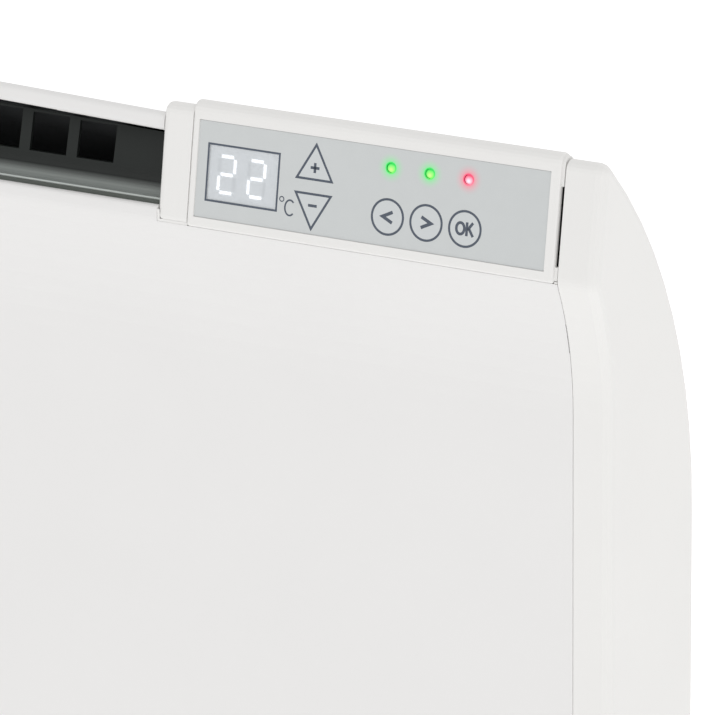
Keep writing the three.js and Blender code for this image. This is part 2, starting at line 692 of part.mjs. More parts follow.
// ---------------------------------------------------------------- control housing and module
function housingOutline() {
  const [topY, topZ] = crescentFaceCorner(HOUSING_INSET);
  const radius = BACK_ARC_RADIUS - HOUSING_INSET;
  const foot = HOUSING_FOOT + FIT;
  const centre = -WALL_GAP - BACK_ARC_RADIUS;
  const footY = centre + Math.sqrt(radius ** 2 - (foot - BACK_ARC_BOTTOM) ** 2);
  return rounded([
    ...crescent(HOUSING_INSET, topY + 2 * CAP_TOP_RADIUS, footY, 6).reverse(),
    [topY, topZ, CAP_TOP_RADIUS],
    facePoint(0, housingBottom, 2.1),
  ], true);
}

// Side outline of the module's front frame with its roof; `grow` adds clearance all round.
function bezelOutline(grow = 0) {
  const [topY, topZ] = crescentFaceCorner(-ROOF_RISE, -BEZEL_PROUD);
  const [underY, underZ] = crescentFaceCorner(ROOF_WALL - ROOF_RISE, BEZEL_DEPTH);
  const step = bezelBottom + FLANGE_STEP;
  const outline = rounded([
    facePoint(-BEZEL_PROUD, bezelBottom, 0.9),
    facePoint(FLANGE_STEP, bezelBottom),
    facePoint(FLANGE_STEP, step),
    facePoint(BEZEL_DEPTH, step),
    [underY, underZ],
    ...crescent(ROOF_WALL - ROOF_RISE, underY, ROOF_BACK, 2).slice(1),
    ...crescent(-ROOF_RISE, topY + 2 * CAP_TOP_RADIUS, ROOF_BACK, 3).reverse(),
    [topY, topZ, CAP_TOP_RADIUS],
  ], true);
  return grow ? inset(outline, -grow) : outline;
}

function shellOutline(insetBy = 0, front = BEZEL_DEPTH + FIT) {
  const step = bezelBottom + FLANGE_STEP + insetBy;
  const high = crescentFaceCorner(SHELL_INSET + insetBy, front);
  const low = crescentFaceCorner(SHELL_INSET + insetBy, SHELL_BACK - insetBy);
  return [
    facePoint(front, step),
    facePoint(SHELL_BACK - insetBy, step),
    low,
    ...crescent(SHELL_INSET + insetBy, high[0], low[0], 3).reverse().slice(1),
  ];
}

const shellHalf = overlayRight + 1.4;
const PLUG = { half: 12, bottom: -14, top: -7, depth: 5 };

function controlHousing() {
  const right = MODULE_X + bezelRight;
  const block = softPrism(housingOutline(), housingX, right, 2, 0);
  const tongue = cut(prism([
    facePoint(1, housingBottom + 2), facePoint(0.8 * TONGUE, housingBottom - TONGUE),
    facePoint(2 * TONGUE, housingBottom - TONGUE), facePoint(2 * TONGUE, housingBottom + 2),
  ], housingX - 1.5, CAP_INNER - SPIGOT - FIT), [prism(sheetOutline(offsetPath(panelPath(), -FIT), SHEET + 2 * FIT), 0, HALF)]);
  const shell = join([block, tongue]);
  const bay = prism(bezelOutline(FIT), MODULE_X + bezelLeft - JOINT, right + 1);
  const well = prism(inset(shellOutline(0, 0), -FIT), MODULE_X - shellHalf - FIT, MODULE_X + shellHalf + FIT);
  const lap = faceBox(bezelLeft - JOINT, bezelRight + 1, -9, FLANGE_STEP + FIT, bezelBottom - FIT, overlayTop);
  const socket = faceBox(-PLUG.half - FIT, PLUG.half + FIT, SHELL_BACK - 1, SHELL_BACK + PLUG.depth + 1,
    PLUG.bottom - FIT, PLUG.top + FIT);
  return cut(shell, [bay, well, lap, socket]);
}

function moduleBezel() {
  const left = MODULE_X + bezelLeft;
  const frame = softPrism(bezelOutline(), left, MODULE_X + bezelRight, 0.8, 0.8, 2);
  const pocket = OVERLAY_THICKNESS + 0.05;
  const [openX, openZ] = [overlayRight - 1, overlayTop - 1];
  return cut(frame, [
    faceBox(-overlayRight - 0.15, overlayRight + 0.15, -5, pocket, -overlayTop - 0.15, overlayTop + 0.15),
    faceBox(-openX, openX, -5, BEZEL_DEPTH + 5, -openZ, openZ),
    faceBox(-overlayRight - 0.3, overlayRight + 0.3, BEZEL_WALL, BEZEL_DEPTH + 5, -openZ - 0.2, openZ + 1.5),
    faceBox(overlayRight, bezelRight + 1, FLANK_FRONT, BEZEL_DEPTH + 5, -openZ - 1.5, openZ + 1.5),
  ]);
}

function moduleShell() {
  const wall = 1.6;
  const tub = prism(shellOutline(), MODULE_X - shellHalf, MODULE_X + shellHalf);
  const room = prism(shellOutline(wall, BEZEL_DEPTH - 3), MODULE_X - shellHalf + 2.6, MODULE_X + shellHalf - 2.6);
  const flank = faceBox(overlayRight + FIT, shellHalf, FLANK_FRONT + FIT, BEZEL_DEPTH + 1, -overlayTop, overlayTop - 4);
  return join([cut(tub, [room]), flank]);
}

// ---------------------------------------------------------------- control face pieces, in the face's own frame
const shapeOf = (points) => new THREE.Shape(points.map(([x, z]) => new THREE.Vector2(x, z)));

function rectangle(x0, x1, z0, z1, radius = 0.5) {
  return shapeOf(rounded([[x0, z0, radius], [x1, z0, radius], [x1, z1, radius], [x0, z1, radius]], true));
}

function disc(x, z, radius, sides = 24) {
  return shapeOf(Array.from({ length: sides }, (_, i) => {
    const angle = 2 * Math.PI * i / sides;
    return [x + radius * Math.cos(angle), z + radius * Math.sin(angle)];
  }));
}

const inradius = TRIANGLE_SIDE / (2 * Math.sqrt(3));

// Equilateral key outline that points up or down; `grow` moves its sides outwards.
function triangle(direction, grow) {
  const middle = triangleMiddle(direction);
  const reach = 2 * (inradius + grow);
  return shapeOf(rounded([90, 210, 330].map((degrees) => {
    const angle = THREE.MathUtils.degToRad(direction * degrees);
    return [TRIANGLE_MIDDLE + reach * Math.cos(angle), middle + reach * Math.sin(angle), 0.5];
  }), true));
}

const triangleMiddle = (direction) => -0.4 + direction * (TRIANGLE_SPLIT / 2 + inradius);

// Plate from a shape on the face, between two depths.
function plate(shape, from, to) {
  const geometry = new THREE.ExtrudeGeometry(shape, { depth: to - from, bevelEnabled: false });
  return geometry.rotateX(Math.PI / 2).translate(0, to, 0);
}

const windowRight = WINDOW_LEFT + WINDOW_WIDTH;
const windowTop = WINDOW_BOTTOM + WINDOW_HEIGHT;
const keyX = (i) => FIRST_KEY + i * KEY_PITCH;
const seam = 0.3; // gap round each key and round the window

function overlay() {
  const sheet = rectangle(-overlayRight, overlayRight, -overlayTop, overlayTop);
  sheet.holes.push(rectangle(WINDOW_LEFT - seam / 2, windowRight + seam / 2,
    WINDOW_BOTTOM - seam / 2, windowTop + seam / 2));
  [1, -1].forEach((direction) => sheet.holes.push(triangle(direction, seam / 2)));
  [0, 1, 2].forEach((i) => {
    sheet.holes.push(disc(keyX(i), KEY_ROW, KEY_RADIUS + seam / 2));
    sheet.holes.push(disc(keyX(i), LED_ROW, LED_RADIUS + seam, 16));
  });
  return plate(sheet, 0, OVERLAY_THICKNESS);
}

function displayWindow() {
  return plate(rectangle(WINDOW_LEFT + seam / 2, windowRight - seam / 2,
    WINDOW_BOTTOM + seam / 2, windowTop - seam / 2), 0, OVERLAY_THICKNESS);
}

const collar = [OVERLAY_THICKNESS + KEY_TRAVEL, OVERLAY_THICKNESS + KEY_TRAVEL + 0.8];
const stemEnd = 2.9;
const plungerTop = stemEnd + KEY_TRAVEL + 0.3;

function roundKey(i) {
  const radius = KEY_RADIUS - seam / 2;
  return turned([[0, 0], [radius, 0], [radius, collar[0]], [radius + 0.8, collar[0]],
    [radius + 0.8, collar[1]], [1.6, collar[1]], [1.6, stemEnd], [0, stemEnd]]).translate(keyX(i), 0, KEY_ROW);
}

function triangleKey(direction) {
  const middle = triangleMiddle(direction);
  return join([
    plate(triangle(direction, -seam / 2), 0, collar[0] + 0.1),
    plate(disc(TRIANGLE_MIDDLE, middle, 4.6, 16), collar[0], collar[1]),
    plate(disc(TRIANGLE_MIDDLE, middle, 1.6, 10), collar[1] - 0.1, stemEnd),
  ]);
}

const boardFace = BOARD_FRONT - 0.3;

function tactSwitch(x, z) {
  return join([
    box(x - 3, x + 3, plungerTop + 1, BOARD_FRONT + 0.1, z - 3, z + 3),
    plate(disc(x, z, 1.6, 10), plungerTop, plungerTop + 1.1),
  ]);
}

function indicator(i) {
  return turned([[0, -0.4], [0.8, -0.25], [1.3, 0.15], [LED_RADIUS, 0.8], [LED_RADIUS, boardFace - 1],
    [LED_RADIUS + 0.3, boardFace - 1], [LED_RADIUS + 0.3, boardFace], [0, boardFace]], 16)
    .translate(keyX(i), 0, LED_ROW);
}

// One bar of a seven-segment digit, as a pointed bar along x or z.
function segment(x, z, upright7) {
  const [long, half] = [(upright7 ? DIGIT_HEIGHT / 2 : DIGIT_WIDTH) - 0.5, 0.65];
  const outline = [[-long / 2, 0], [-long / 2 + half, half], [long / 2 - half, half],
    [long / 2, 0], [long / 2 - half, -half], [-long / 2 + half, -half]];
  return shapeOf(outline.map(([u, v]) => (upright7 ? [x - v, z + u] : [x + u, z + v])));
}

function displayBlock() {
  const [top, relief] = [1.4, 0.3];
  const middleX = (WINDOW_LEFT + windowRight) / 2 + DIGIT_SHIFT[0];
  const middleZ = (windowTop + WINDOW_BOTTOM) / 2 + DIGIT_SHIFT[1];
  const step = DIGIT_HEIGHT / 2;
  const bars = [-1, 1].flatMap((side) => {
    const x = middleX + side * DIGIT_PITCH / 2;
    const across = [-step, 0, step].map((z) => segment(x, middleZ + z, false));
    const tall = [-1, 1].flatMap((s) => [-1, 1].map((t) =>
      segment(x + s * DIGIT_WIDTH / 2, middleZ + t * step / 2, true)));
    return [...across, ...tall];
  });
  const block = box(WINDOW_LEFT + 0.8, windowRight - 0.8, top, boardFace, WINDOW_BOTTOM + 0.6, windowTop - 0.6);
  return join([block, ...bars.map((shape) => plate(shape, top - relief, top + 0.1))]);
}

// Printed circuit board with a push switch behind each key.
function controlBoard() {
  const half = overlayRight - 0.7;
  return join([
    box(-half, half, BOARD_FRONT, BOARD_FRONT + BOARD_THICKNESS, -13.2, 13.2),
    ...[0, 1, 2].map((i) => tactSwitch(keyX(i), KEY_ROW)),
    ...[1, -1].map((direction) => tactSwitch(TRIANGLE_MIDDLE, triangleMiddle(direction))),
  ]);
}

function modulePlug() {
  return box(-PLUG.half, PLUG.half, SHELL_BACK + 0.3, SHELL_BACK + PLUG.depth, PLUG.bottom, PLUG.top);
}

// ---------------------------------------------------------------- mains switch in the right end cap
const wellY = ROCKER_WIDTH / 2 + FIT;
const wellZ = ROCKER_RADIUS + 0.5;
const pivotX = HALF + SWITCH_FLANGE - PIVOT_DEPTH;

function switchBox(x0, x1, grow, extra = 0) {
  const [reachY, reachZ] = [wellY + SWITCH_WALL + grow, wellZ + SWITCH_WALL + grow + extra];
  return box(x0, x1, -SWITCH_DEPTH - reachY, -SWITCH_DEPTH + reachY, SWITCH_HEIGHT - reachZ, SWITCH_HEIGHT + reachZ);
}

function switchFrame() {
  const back = HALF - 17;
  const blade = (z) => box(back - 6, back + 1, -SWITCH_DEPTH - 2.4, -SWITCH_DEPTH + 2.4, z - 0.4, z + 0.4);
  const solid = join([
    switchBox(back, HALF + 0.2, 0),
    switchBox(HALF, HALF + SWITCH_FLANGE, 1.5),
    ...[-6, 0, 6].map((dz) => blade(SWITCH_HEIGHT + dz)),
  ]);
  return cut(solid, [
    switchBox(back + 4, HALF + 2, -SWITCH_WALL),
    cylinder('y', PIN_RADIUS + FIT, -SWITCH_DEPTH - wellY - SWITCH_WALL + 0.3,
      -SWITCH_DEPTH + wellY + SWITCH_WALL - 0.3, pivotX, SWITCH_HEIGHT, 16),
  ]);
}

function switchRocker() {
  const [top, bottom, dip] = [0.33, -0.5, 1.6];
  const arc = Array.from({ length: 6 }, (_, s) => {
    const angle = top + (bottom - top) * s / 5;
    return [ROCKER_RADIUS * Math.sin(angle), ROCKER_RADIUS * Math.cos(angle)];
  });
  const profile = [[dip, 0], ...arc, ...arc.map(([x, z]) => [x, -z]).reverse()];
  const half = ROCKER_WIDTH / 2;
  const body = plate(shapeOf(profile), -half, half);
  const pins = cylinder('y', PIN_RADIUS, -half - 0.9, half + 0.9, 0, 0, 12);
  return join([body, pins]).rotateY(-ROCKER_TILT).translate(pivotX, -SWITCH_DEPTH, SWITCH_HEIGHT);
}

// ---------------------------------------------------------------- heating chamber
const elementY = -ELEMENT_DEPTH;
const elementLeft = -CAP_INNER + ELEMENT_LEFT_GAP;
const elementRight = bulkheadX - ELEMENT_RIGHT_GAP;
const TUBE_RADIUS = 5;

function heatingElement() {
  const blade = () => box(elementLeft + 14, elementRight - 14, -0.9, 0.9, -ELEMENT_REACH * 1.5, ELEMENT_REACH * 1.5);
  const rib = (up) => box(elementLeft + 14, elementRight - 14, -4, 4, up - 0.7, up + 0.7);
  const fins = [0.72, -0.72].flatMap((angle) =>
    [blade(), rib(17), rib(-17)].map((piece) => piece.rotateX(angle).translate(0, elementY, ELEMENT_HEIGHT)));
  const core = cylinder('x', TUBE_RADIUS, elementLeft, elementRight, elementY, ELEMENT_HEIGHT, 16);
  return join([core, ...fins]);
}

// Ceramic bush with a threaded pin, on one end of the element.
function elementTerminal(side) {
  const end = side > 0 ? elementRight : elementLeft;
  const bush = turnedX([[0, 0], [3.6, 0], [3.6, 4], [2.6, 5], [2.6, 9], [1.2, 9], [1.2, 15], [0, 15]], 12);
  const piece = bush.translate(0, elementY, ELEMENT_HEIGHT);
  return (side > 0 ? piece : mirrored(piece)).translate(end, 0, 0);
}

function elementBracket(x) {
  const [front, foot] = [elementY - 15, innerBack];
  const web = box(x, x + THIN_SHEET, front, foot, ELEMENT_HEIGHT - 27, ELEMENT_HEIGHT + 27);
  const flange = box(x, x + 14, foot - THIN_SHEET, foot, ELEMENT_HEIGHT - 27, ELEMENT_HEIGHT + 27);
  const bore = cylinder('x', TUBE_RADIUS + 0.2, x - 1, x + 2, elementY, ELEMENT_HEIGHT, 16);
  return cut(join([web, flange]), [bore]);
}

const SHIELD = { left: 20 - CAP_INNER, right: bulkheadX - 8, foot: BACK_ARC_BOTTOM - 73, top: BACK_ARC_BOTTOM - 3, y: -31 };

// Sheet that keeps the element's heat off the rear casing, stepped back to it at top and bottom.
function heatShield() {
  const outline = sheetOutline([
    [innerBack, SHIELD.top - 2], [innerBack, SHIELD.top - 12], [SHIELD.y, SHIELD.top - 14],
    [SHIELD.y, SHIELD.foot], [innerBack, SHIELD.foot - 2], [innerBack, SHIELD.foot - 12],
  ], THIN_SHEET);
  return prism(outline, SHIELD.left, SHIELD.right);
}

function thermalCutout() {
  const seat = SHIELD.y - THIN_SHEET;
  const [x, z] = [elementRight - 40, SHIELD.top - 32];
  return join([
    cylinder('y', 8, seat - 6, seat, x, z, 20),
    cylinder('y', 6, seat - 9, seat - 5, x, z, 16),
    box(x - 12, x + 12, seat - 0.8, seat, z - 3, z + 3),
    box(x - 3, x + 3, seat - 11, seat - 8, z - 0.4, z + 0.4),
  ]);
}

// ---------------------------------------------------------------- electrical end
// In this end x is measured from the bulkhead.
const BOARD = { left: 18, right: 110, foot: BACK_ARC_BOTTOM - 88.7, top: BACK_ARC_BOTTOM - 2.7, y: -34, thickness: 1.6 };
const boardFrontY = BOARD.y - BOARD.thickness;

function powerBoard() {
  return box(BOARD.left, BOARD.right, boardFrontY, BOARD.y, BOARD.foot, BOARD.top);
}

// Moulded frame with a post at each corner that carries the power board.
function boardCarrier() {
  const posts = [BOARD.left + 6, BOARD.right - 6].flatMap((x) => [BOARD.foot + 6, BOARD.top - 6].map((z) =>
    cylinder('y', 3, BOARD.y, innerBack, x, z, 12)));
  const back = [innerBack - 1.5, innerBack];
  const frame = box(BOARD.left, BOARD.right, ...back, BOARD.foot, BOARD.top);
  const opening = box(BOARD.left + 10, BOARD.right - 10, back[0] - 1, back[1] + 1, BOARD.foot + 10, BOARD.top - 10);
  return join([cut(frame, [opening]), ...posts]);
}

// Block on the board, with its heights measured from the board's foot.
const onBoard = (x0, x1, z0, z1, rise) =>
  box(x0, x1, boardFrontY - rise, boardFrontY, BOARD.foot + z0, BOARD.foot + z1);

function terminalBlock() {
  const [x0, pitch, y] = [60, 11, innerBack];
  const body = box(x0, x0 + 3 * pitch, y - 16, y, 64, 84);
  const bores = [0, 1, 2].flatMap((i) => {
    const x = x0 + pitch * (i + 0.5);
    return [
      cylinder('z', 2.2, 60, 72, x, y - 7, 12),
      cylinder('z', 2.2, 76, 90, x, y - 7, 12),
      cylinder('y', 2.4, y - 18, y - 12, x, 69, 12),
      cylinder('y', 2.4, y - 18, y - 12, x, 79, 12),
    ];
  });
  return cut(body, bores);
}

// Bush that the supply cable would come in through, at the lower back.
function cableGland() {
  const outside = BACK_Y;
  return turned([[GLAND.bore, outside + 12], [6.4, outside + 12], [8.2, outside + 10], [8.2, outside],
    [GLAND.thread, outside], [GLAND.thread, innerBack - 9], [GLAND.bore, innerBack - 9],
    [GLAND.bore, outside + 12]], 20).translate(GLAND.x, 0, GLAND.z);
}

function glandNut() {
  const hexagon = cylinder('y', 9.4, innerBack - 4, innerBack, GLAND.x, GLAND.z, 6);
  return cut(hexagon, [cylinder('y', GLAND.thread + FIT, innerBack - 5, innerBack + 1, GLAND.x, GLAND.z)]);
}

function earthScrew() {
  return turned([[0, innerBack], [3.4, innerBack], [3.4, innerBack - 1.2], [2.6, innerBack - 1.2],
    [2.6, innerBack - 3.4], [0, innerBack - 3.4]], 12).translate(22, 0, 56);
}

function roomSensor() {
  return new THREE.CapsuleGeometry(1.8, 7, 3, 8).rotateZ(Math.PI / 2).translate(COVER.clip + 5, innerBack - 4, 17.1);
}

// Insulated wires between the terminal block, the switch, the board and the element.
const WIRE_RADIUS = 1.1;
const switchX = HALF - 24.5 - bulkheadX;
const WIRES = {
  wire_live: { colour: redInsulation, route: [[65.5, -31, 86], [68, -36, 96], [86, -50, 100], [104, -52, 84],
    [switchX, -SWITCH_DEPTH, SWITCH_HEIGHT + 6]] },
  wire_switched: { colour: redInsulation, route: [[switchX, -SWITCH_DEPTH, SWITCH_HEIGHT], [100, -52, 74],
    [96, -58, BOARD.foot - 26], [96, -46, BOARD.foot - 2], [94, -37.2, BOARD.foot + 10]] },
  wire_neutral: { colour: blueInsulation, route: [[76.5, -31, 86], [76.5, -33, 98], [73, -40, BOARD.foot - 12],
    [70, -42, BOARD.foot], [66, -37.2, BOARD.foot + 10]] },
  wire_element: { colour: whiteInsulation, route: [[26, -37.2, BOARD.foot + 48], [16, -46, BOARD.foot + 40],
    [10, -52, BOARD.foot + 14], [8, -ELEMENT_DEPTH, ELEMENT_HEIGHT + 10], [-4, -ELEMENT_DEPTH, ELEMENT_HEIGHT],
    [15.5 - ELEMENT_RIGHT_GAP, -ELEMENT_DEPTH, ELEMENT_HEIGHT]] },
  module_cable: { colour: whiteInsulation, route: [[74, -37.2, BOARD.foot + 78], [72, -44, BOARD.foot + 92],
    [64, -52, BOARD.foot + 120], [MODULE_X - bulkheadX, -54, BODY_HEIGHT - 60]] },
};

// ---------------------------------------------------------------- wall bracket and its latches
const CARRIAGE_BACK = -BRACKET_SHEET - 0.4;
const carriageFoot = noseTop - 42;
const tabTop = carriageFoot + BRACKET_SHEET;
const tipBack = innerBack - 5.2;
const guideX = LATCH_WIDTH / 2 + 0.4;

function wallBracket() {
  const rail = box(-RAIL_LENGTH / 2, RAIL_LENGTH / 2, -BRACKET_SHEET, 0, RAIL_HEIGHT - RAIL_WIDTH / 2,
    RAIL_HEIGHT + RAIL_WIDTH / 2);
  const screws = [-190, -95, 95, 190].flatMap((x) => [
    cylinder('y', 3.2, -5, 5, x, RAIL_HEIGHT - 8, 16),
    box(x - 3.2, x + 3.2, -5, 5, RAIL_HEIGHT - 8, RAIL_HEIGHT + 8),
    cylinder('y', 3.2, -5, 5, x, RAIL_HEIGHT + 8, 16),
  ]);
  return cut(join([rail, ...strap(-STRAP_X), ...strap(STRAP_X)]), screws);
}

function strap(x) {
  const half = STRAP_WIDTH / 2;
  const hookEnd = innerBack - FIT - BRACKET_SHEET;
  const shelf = carriageFoot - SPRING_LENGTH;
  const guides = [-1, 1].flatMap((side) => {
    const [a, b] = [x + side * guideX, x + side * (guideX + BRACKET_SHEET)];
    const inner = x + side * (guideX - 3);
    const foot = tabTop + 0.3;
    return [
      box(Math.min(a, b), Math.max(a, b), CARRIAGE_BACK - 4.8, -1, foot, noseHeight - 8),
      box(Math.min(inner, b), Math.max(inner, b), CARRIAGE_BACK - 4.4, CARRIAGE_BACK - 2.4, foot, noseHeight - 8),
    ];
  });
  return [
    box(x - half, x + half, -BRACKET_SHEET, 0, STRAP_FOOT, RAIL_HEIGHT - RAIL_WIDTH / 2 + 1),
    box(x - HOOK_WIDTH / 2, x + HOOK_WIDTH / 2, hookEnd, -1, STRAP_FOOT, footTop),
    box(x - HOOK_WIDTH / 2, x + HOOK_WIDTH / 2, hookEnd, hookEnd + BRACKET_SHEET, STRAP_FOOT, footTop + HOOK_LIP),
    box(x - 7, x + 7, CARRIAGE_BACK - 10, -1, shelf - BRACKET_SHEET, shelf),
    ...guides,
  ];
}

function latch(x) {
  const [half, front] = [LATCH_WIDTH / 2, CARRIAGE_BACK - BRACKET_SHEET];
  return join([
    box(x - half, x + half, front, CARRIAGE_BACK, carriageFoot, noseTop),
    box(x - half, x + half, tipBack, CARRIAGE_BACK, noseHeight, noseTop),
    box(x - half + 2, x + half - 2, tipBack, tipBack + BRACKET_SHEET, noseHeight, noseTop + LATCH_TRAVEL - 1),
    box(x - half - 2, x + half + 2, CARRIAGE_BACK - 13, CARRIAGE_BACK, carriageFoot, tabTop),
  ]);
}

// Unbroken wire coil from the bracket's shelf up to the latch's tab.
function latchSpring(x) {
  const [perTurn, sides] = [8, 5];
  const rings = perTurn * SPRING_COILS;
  const [y, z0] = [CARRIAGE_BACK - 6.4, carriageFoot - SPRING_LENGTH + SPRING_WIRE];
  const rise = (SPRING_LENGTH - 2 * SPRING_WIRE) / rings;
  const positions = [];
  const index = [];
  for (let ring = 0; ring <= rings; ring += 1) {
    const turn = 2 * Math.PI * ring / perTurn;
    for (let i = 0; i < sides; i += 1) {
      const angle = 2 * Math.PI * (i + 0.25) / sides;
      const reach = SPRING_RADIUS + SPRING_WIRE * Math.cos(angle);
      positions.push(x + reach * Math.cos(turn), y + reach * Math.sin(turn),
        z0 + rise * ring + SPRING_WIRE * Math.sin(angle));
      if (ring === rings) continue;
      const [a, b] = [ring * sides + i, ring * sides + (i + 1) % sides];
      index.push(a, b, b + sides, a, b + sides, a + sides);
    }
  }
  for (let i = 1; i < sides - 1; i += 1) {
    index.push(0, i + 1, i);
    index.push(rings * sides, rings * sides + i, rings * sides + i + 1);
  }
  const geometry = new THREE.BufferGeometry();
  geometry.setAttribute('position', new THREE.Float32BufferAttribute(positions, 3));
  geometry.setIndex(index);
  return upright(geometry);
}

// ---------------------------------------------------------------- assembly
const SIDES = [['left', -1], ['right', 1]];

addPart('front_panel', frontPanel(), whitePaint);
addPart('rear_casing', rearCasing(), whitePaint);
addPart('outlet_lip', outletLip(), whitePaint);
addPart('terminal_cover', terminalCover(), whitePlastic, electrics);
addPart('outlet_sill', outletSill(), darkSheet);
addPart('outlet_grille', outletGrille(), darkSheet);
addPart('inlet_grille', inletGrille(), galvanised);
SIDES.forEach(([name, side]) => {
  addPart(`end_cap_${name}`, endCap(side), whitePlastic);
  addPart(`side_plate_${name}`, sidePlate(side), galvanised);
  BOSS_PLACES.forEach((place, i) => addPart(`cap_screw_${name}_${i + 1}`, capScrew(place, side), zinc));
});
addPart('bulkhead', bulkhead(), galvanised);

addPart('control_housing', controlHousing(), whitePlastic);
addPart('module_bezel', moduleBezel(), whitePlastic);
addPart('module_shell', moduleShell(), blackPlastic);
addPart('module_plug', modulePlug(), greyPlastic, face);
addPart('overlay_foil', overlay(), silverFoil, face);
addPart('display_window', displayWindow(), greyTint, face);
addPart('display_block', displayBlock(), greyTint, face);
addPart('control_board', controlBoard(), boardGreen, face);
const greenOrRed = [greenLens, greenLens, redLens];
greenOrRed.forEach((lens, i) => addPart(`led_${i + 1}`, indicator(i), lens, face));
['key_back', 'key_next', 'key_ok'].forEach((name, i) => {
  addPart(name, roundKey(i), keyFoil, face);
});
[['key_plus', 1], ['key_minus', -1]].forEach(([name, direction]) => {
  addPart(name, triangleKey(direction), keyFoil, face);
});

addPart('heating_element', heatingElement(), aluminium);
SIDES.forEach(([name, side]) => addPart(`element_terminal_${name}`, elementTerminal(side), ceramic));
addPart('element_bracket_left', elementBracket(elementLeft + 5), galvanised);
addPart('element_bracket_right', elementBracket(elementRight - 8), galvanised);
addPart('heat_shield', heatShield(), galvanised);
addPart('thermal_cutout', thermalCutout(), blackPlastic);

addPart('power_board', powerBoard(), boardGreen, electrics);
addPart('board_carrier', boardCarrier(), greyPlastic, electrics);
addPart('relay', onBoard(28, 56, 20, 36, 16), blackPlastic, electrics);
addPart('transformer', onBoard(70, 100, 44, 70, 22), blackPlastic, electrics);
addPart('terminal_block', terminalBlock(), whitePlastic, electrics);
Object.entries(WIRES).forEach(([name, { colour, route }]) => {
  addPart(name, tube(route, WIRE_RADIUS, 4 * route.length), colour, electrics);
});
addPart('cable_gland', cableGland(), blackPlastic, electrics);
addPart('gland_nut', glandNut(), blackPlastic, electrics);
addPart('earth_screw', earthScrew(), brass, electrics);
addPart('room_sensor', roomSensor(), blackPlastic, electrics);
addPart('switch_frame', switchFrame(), blackPlastic);
addPart('switch_rocker', switchRocker(), blackPlastic);

addPart('wall_bracket', wallBracket(), galvanised);
SIDES.forEach(([name, side]) => {
  addPart(`bracket_latch_${name}`, latch(side * STRAP_X), zinc);
  addPart(`latch_spring_${name}`, latchSpring(side * STRAP_X), springSteel);
});

export default product;
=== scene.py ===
"""Looks of a wall panel convector heater with a plug-in thermostat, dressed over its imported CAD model.

Everything is in metres in the model's frame: +X to the right seen from the front, +Y into the wall, +Z up.
"""

import logging
import math
from dataclasses import dataclass, field
from enum import Enum
from typing import Any, Iterable, Optional, Sequence

import bmesh
import bpy
from mathutils import Matrix, Vector


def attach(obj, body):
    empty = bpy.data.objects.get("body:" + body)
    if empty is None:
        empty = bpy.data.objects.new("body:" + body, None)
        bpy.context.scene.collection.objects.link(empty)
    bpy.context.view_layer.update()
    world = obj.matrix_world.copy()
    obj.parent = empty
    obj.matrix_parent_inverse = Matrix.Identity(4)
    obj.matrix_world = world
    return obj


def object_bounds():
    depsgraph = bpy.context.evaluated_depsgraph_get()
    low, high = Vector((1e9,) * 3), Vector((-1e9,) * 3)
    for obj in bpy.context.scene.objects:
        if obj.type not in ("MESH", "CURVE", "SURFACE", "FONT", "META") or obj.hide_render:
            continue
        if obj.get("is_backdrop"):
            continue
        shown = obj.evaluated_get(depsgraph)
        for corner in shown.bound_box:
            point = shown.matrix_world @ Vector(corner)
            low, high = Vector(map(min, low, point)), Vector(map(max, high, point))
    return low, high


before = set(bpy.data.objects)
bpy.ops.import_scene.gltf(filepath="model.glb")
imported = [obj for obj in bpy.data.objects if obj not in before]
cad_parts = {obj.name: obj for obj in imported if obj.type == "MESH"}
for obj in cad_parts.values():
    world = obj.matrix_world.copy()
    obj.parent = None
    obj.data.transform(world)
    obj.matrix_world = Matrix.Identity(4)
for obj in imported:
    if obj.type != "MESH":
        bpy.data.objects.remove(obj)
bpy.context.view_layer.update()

log = logging.getLogger("heater")

MM = 0.001  # metres in a millimetre
HEATER_BODY = "heater"

RAIL_HEIGHT = 245.0  # heater's bottom to the frame's origin
FACE_SLANT = math.radians(9.6)  # the control face leans back by this much
FACE_CENTRE = (285.9, -82.5, 329.39 - RAIL_HEIGHT)

MIX_COLOURS = (6, 7)  # a mix node's two colour inputs
MIX_RESULT = 2  # and its colour output

Point = tuple[float, float]
Triple = tuple[float, float, float]
Tree = bpy.types.NodeTree
Socket = bpy.types.NodeSocket
BMesh = bmesh.types.BMesh


# ---------------------------------------------------------------------------- colours and nodes
def linear(hex_colour: str) -> tuple[float, float, float, float]:
    """Turns an sRGB hex colour into linear red, green, blue and alpha.

    Args:
        hex_colour: Six hex digits after a number sign.

    Returns:
        The linear colour with an alpha of 1.
    """
    values = [int(hex_colour[i : i + 2], 16) / 255 for i in (1, 3, 5)]
    toe_end, toe_slope, offset, gamma = 0.04045, 12.92, 0.055, 2.4  # the curve that sRGB is defined by
    red, green, blue = [
        v / toe_slope if v <= toe_end else ((v + offset) / (1 + offset)) ** gamma for v in values
    ]
    return red, green, blue, 1.0


def add_node(
    tree: Tree,
    kind: str,
    settings: Optional[dict[Any, Any]] = None,
    links: Optional[dict[Any, Socket]] = None,
) -> bpy.types.Node:
    """Adds one node with its settings and links.

    Args:
        tree: Node tree that gets the node.
        kind: Blender's name of the node's type.
        settings: Values by property name, input name or input number.
        links: Output sockets by the input name or number that each one feeds.

    Returns:
        The new node.
    """
    node = tree.nodes.new(kind)
    for key, value in (settings or {}).items():
        if isinstance(key, str) and key in node.bl_rna.properties:
            setattr(node, key, value)
        else:
            node.inputs[key].default_value = value
    for key, socket in (links or {}).items():
        tree.links.new(socket, node.inputs[key])
    return node


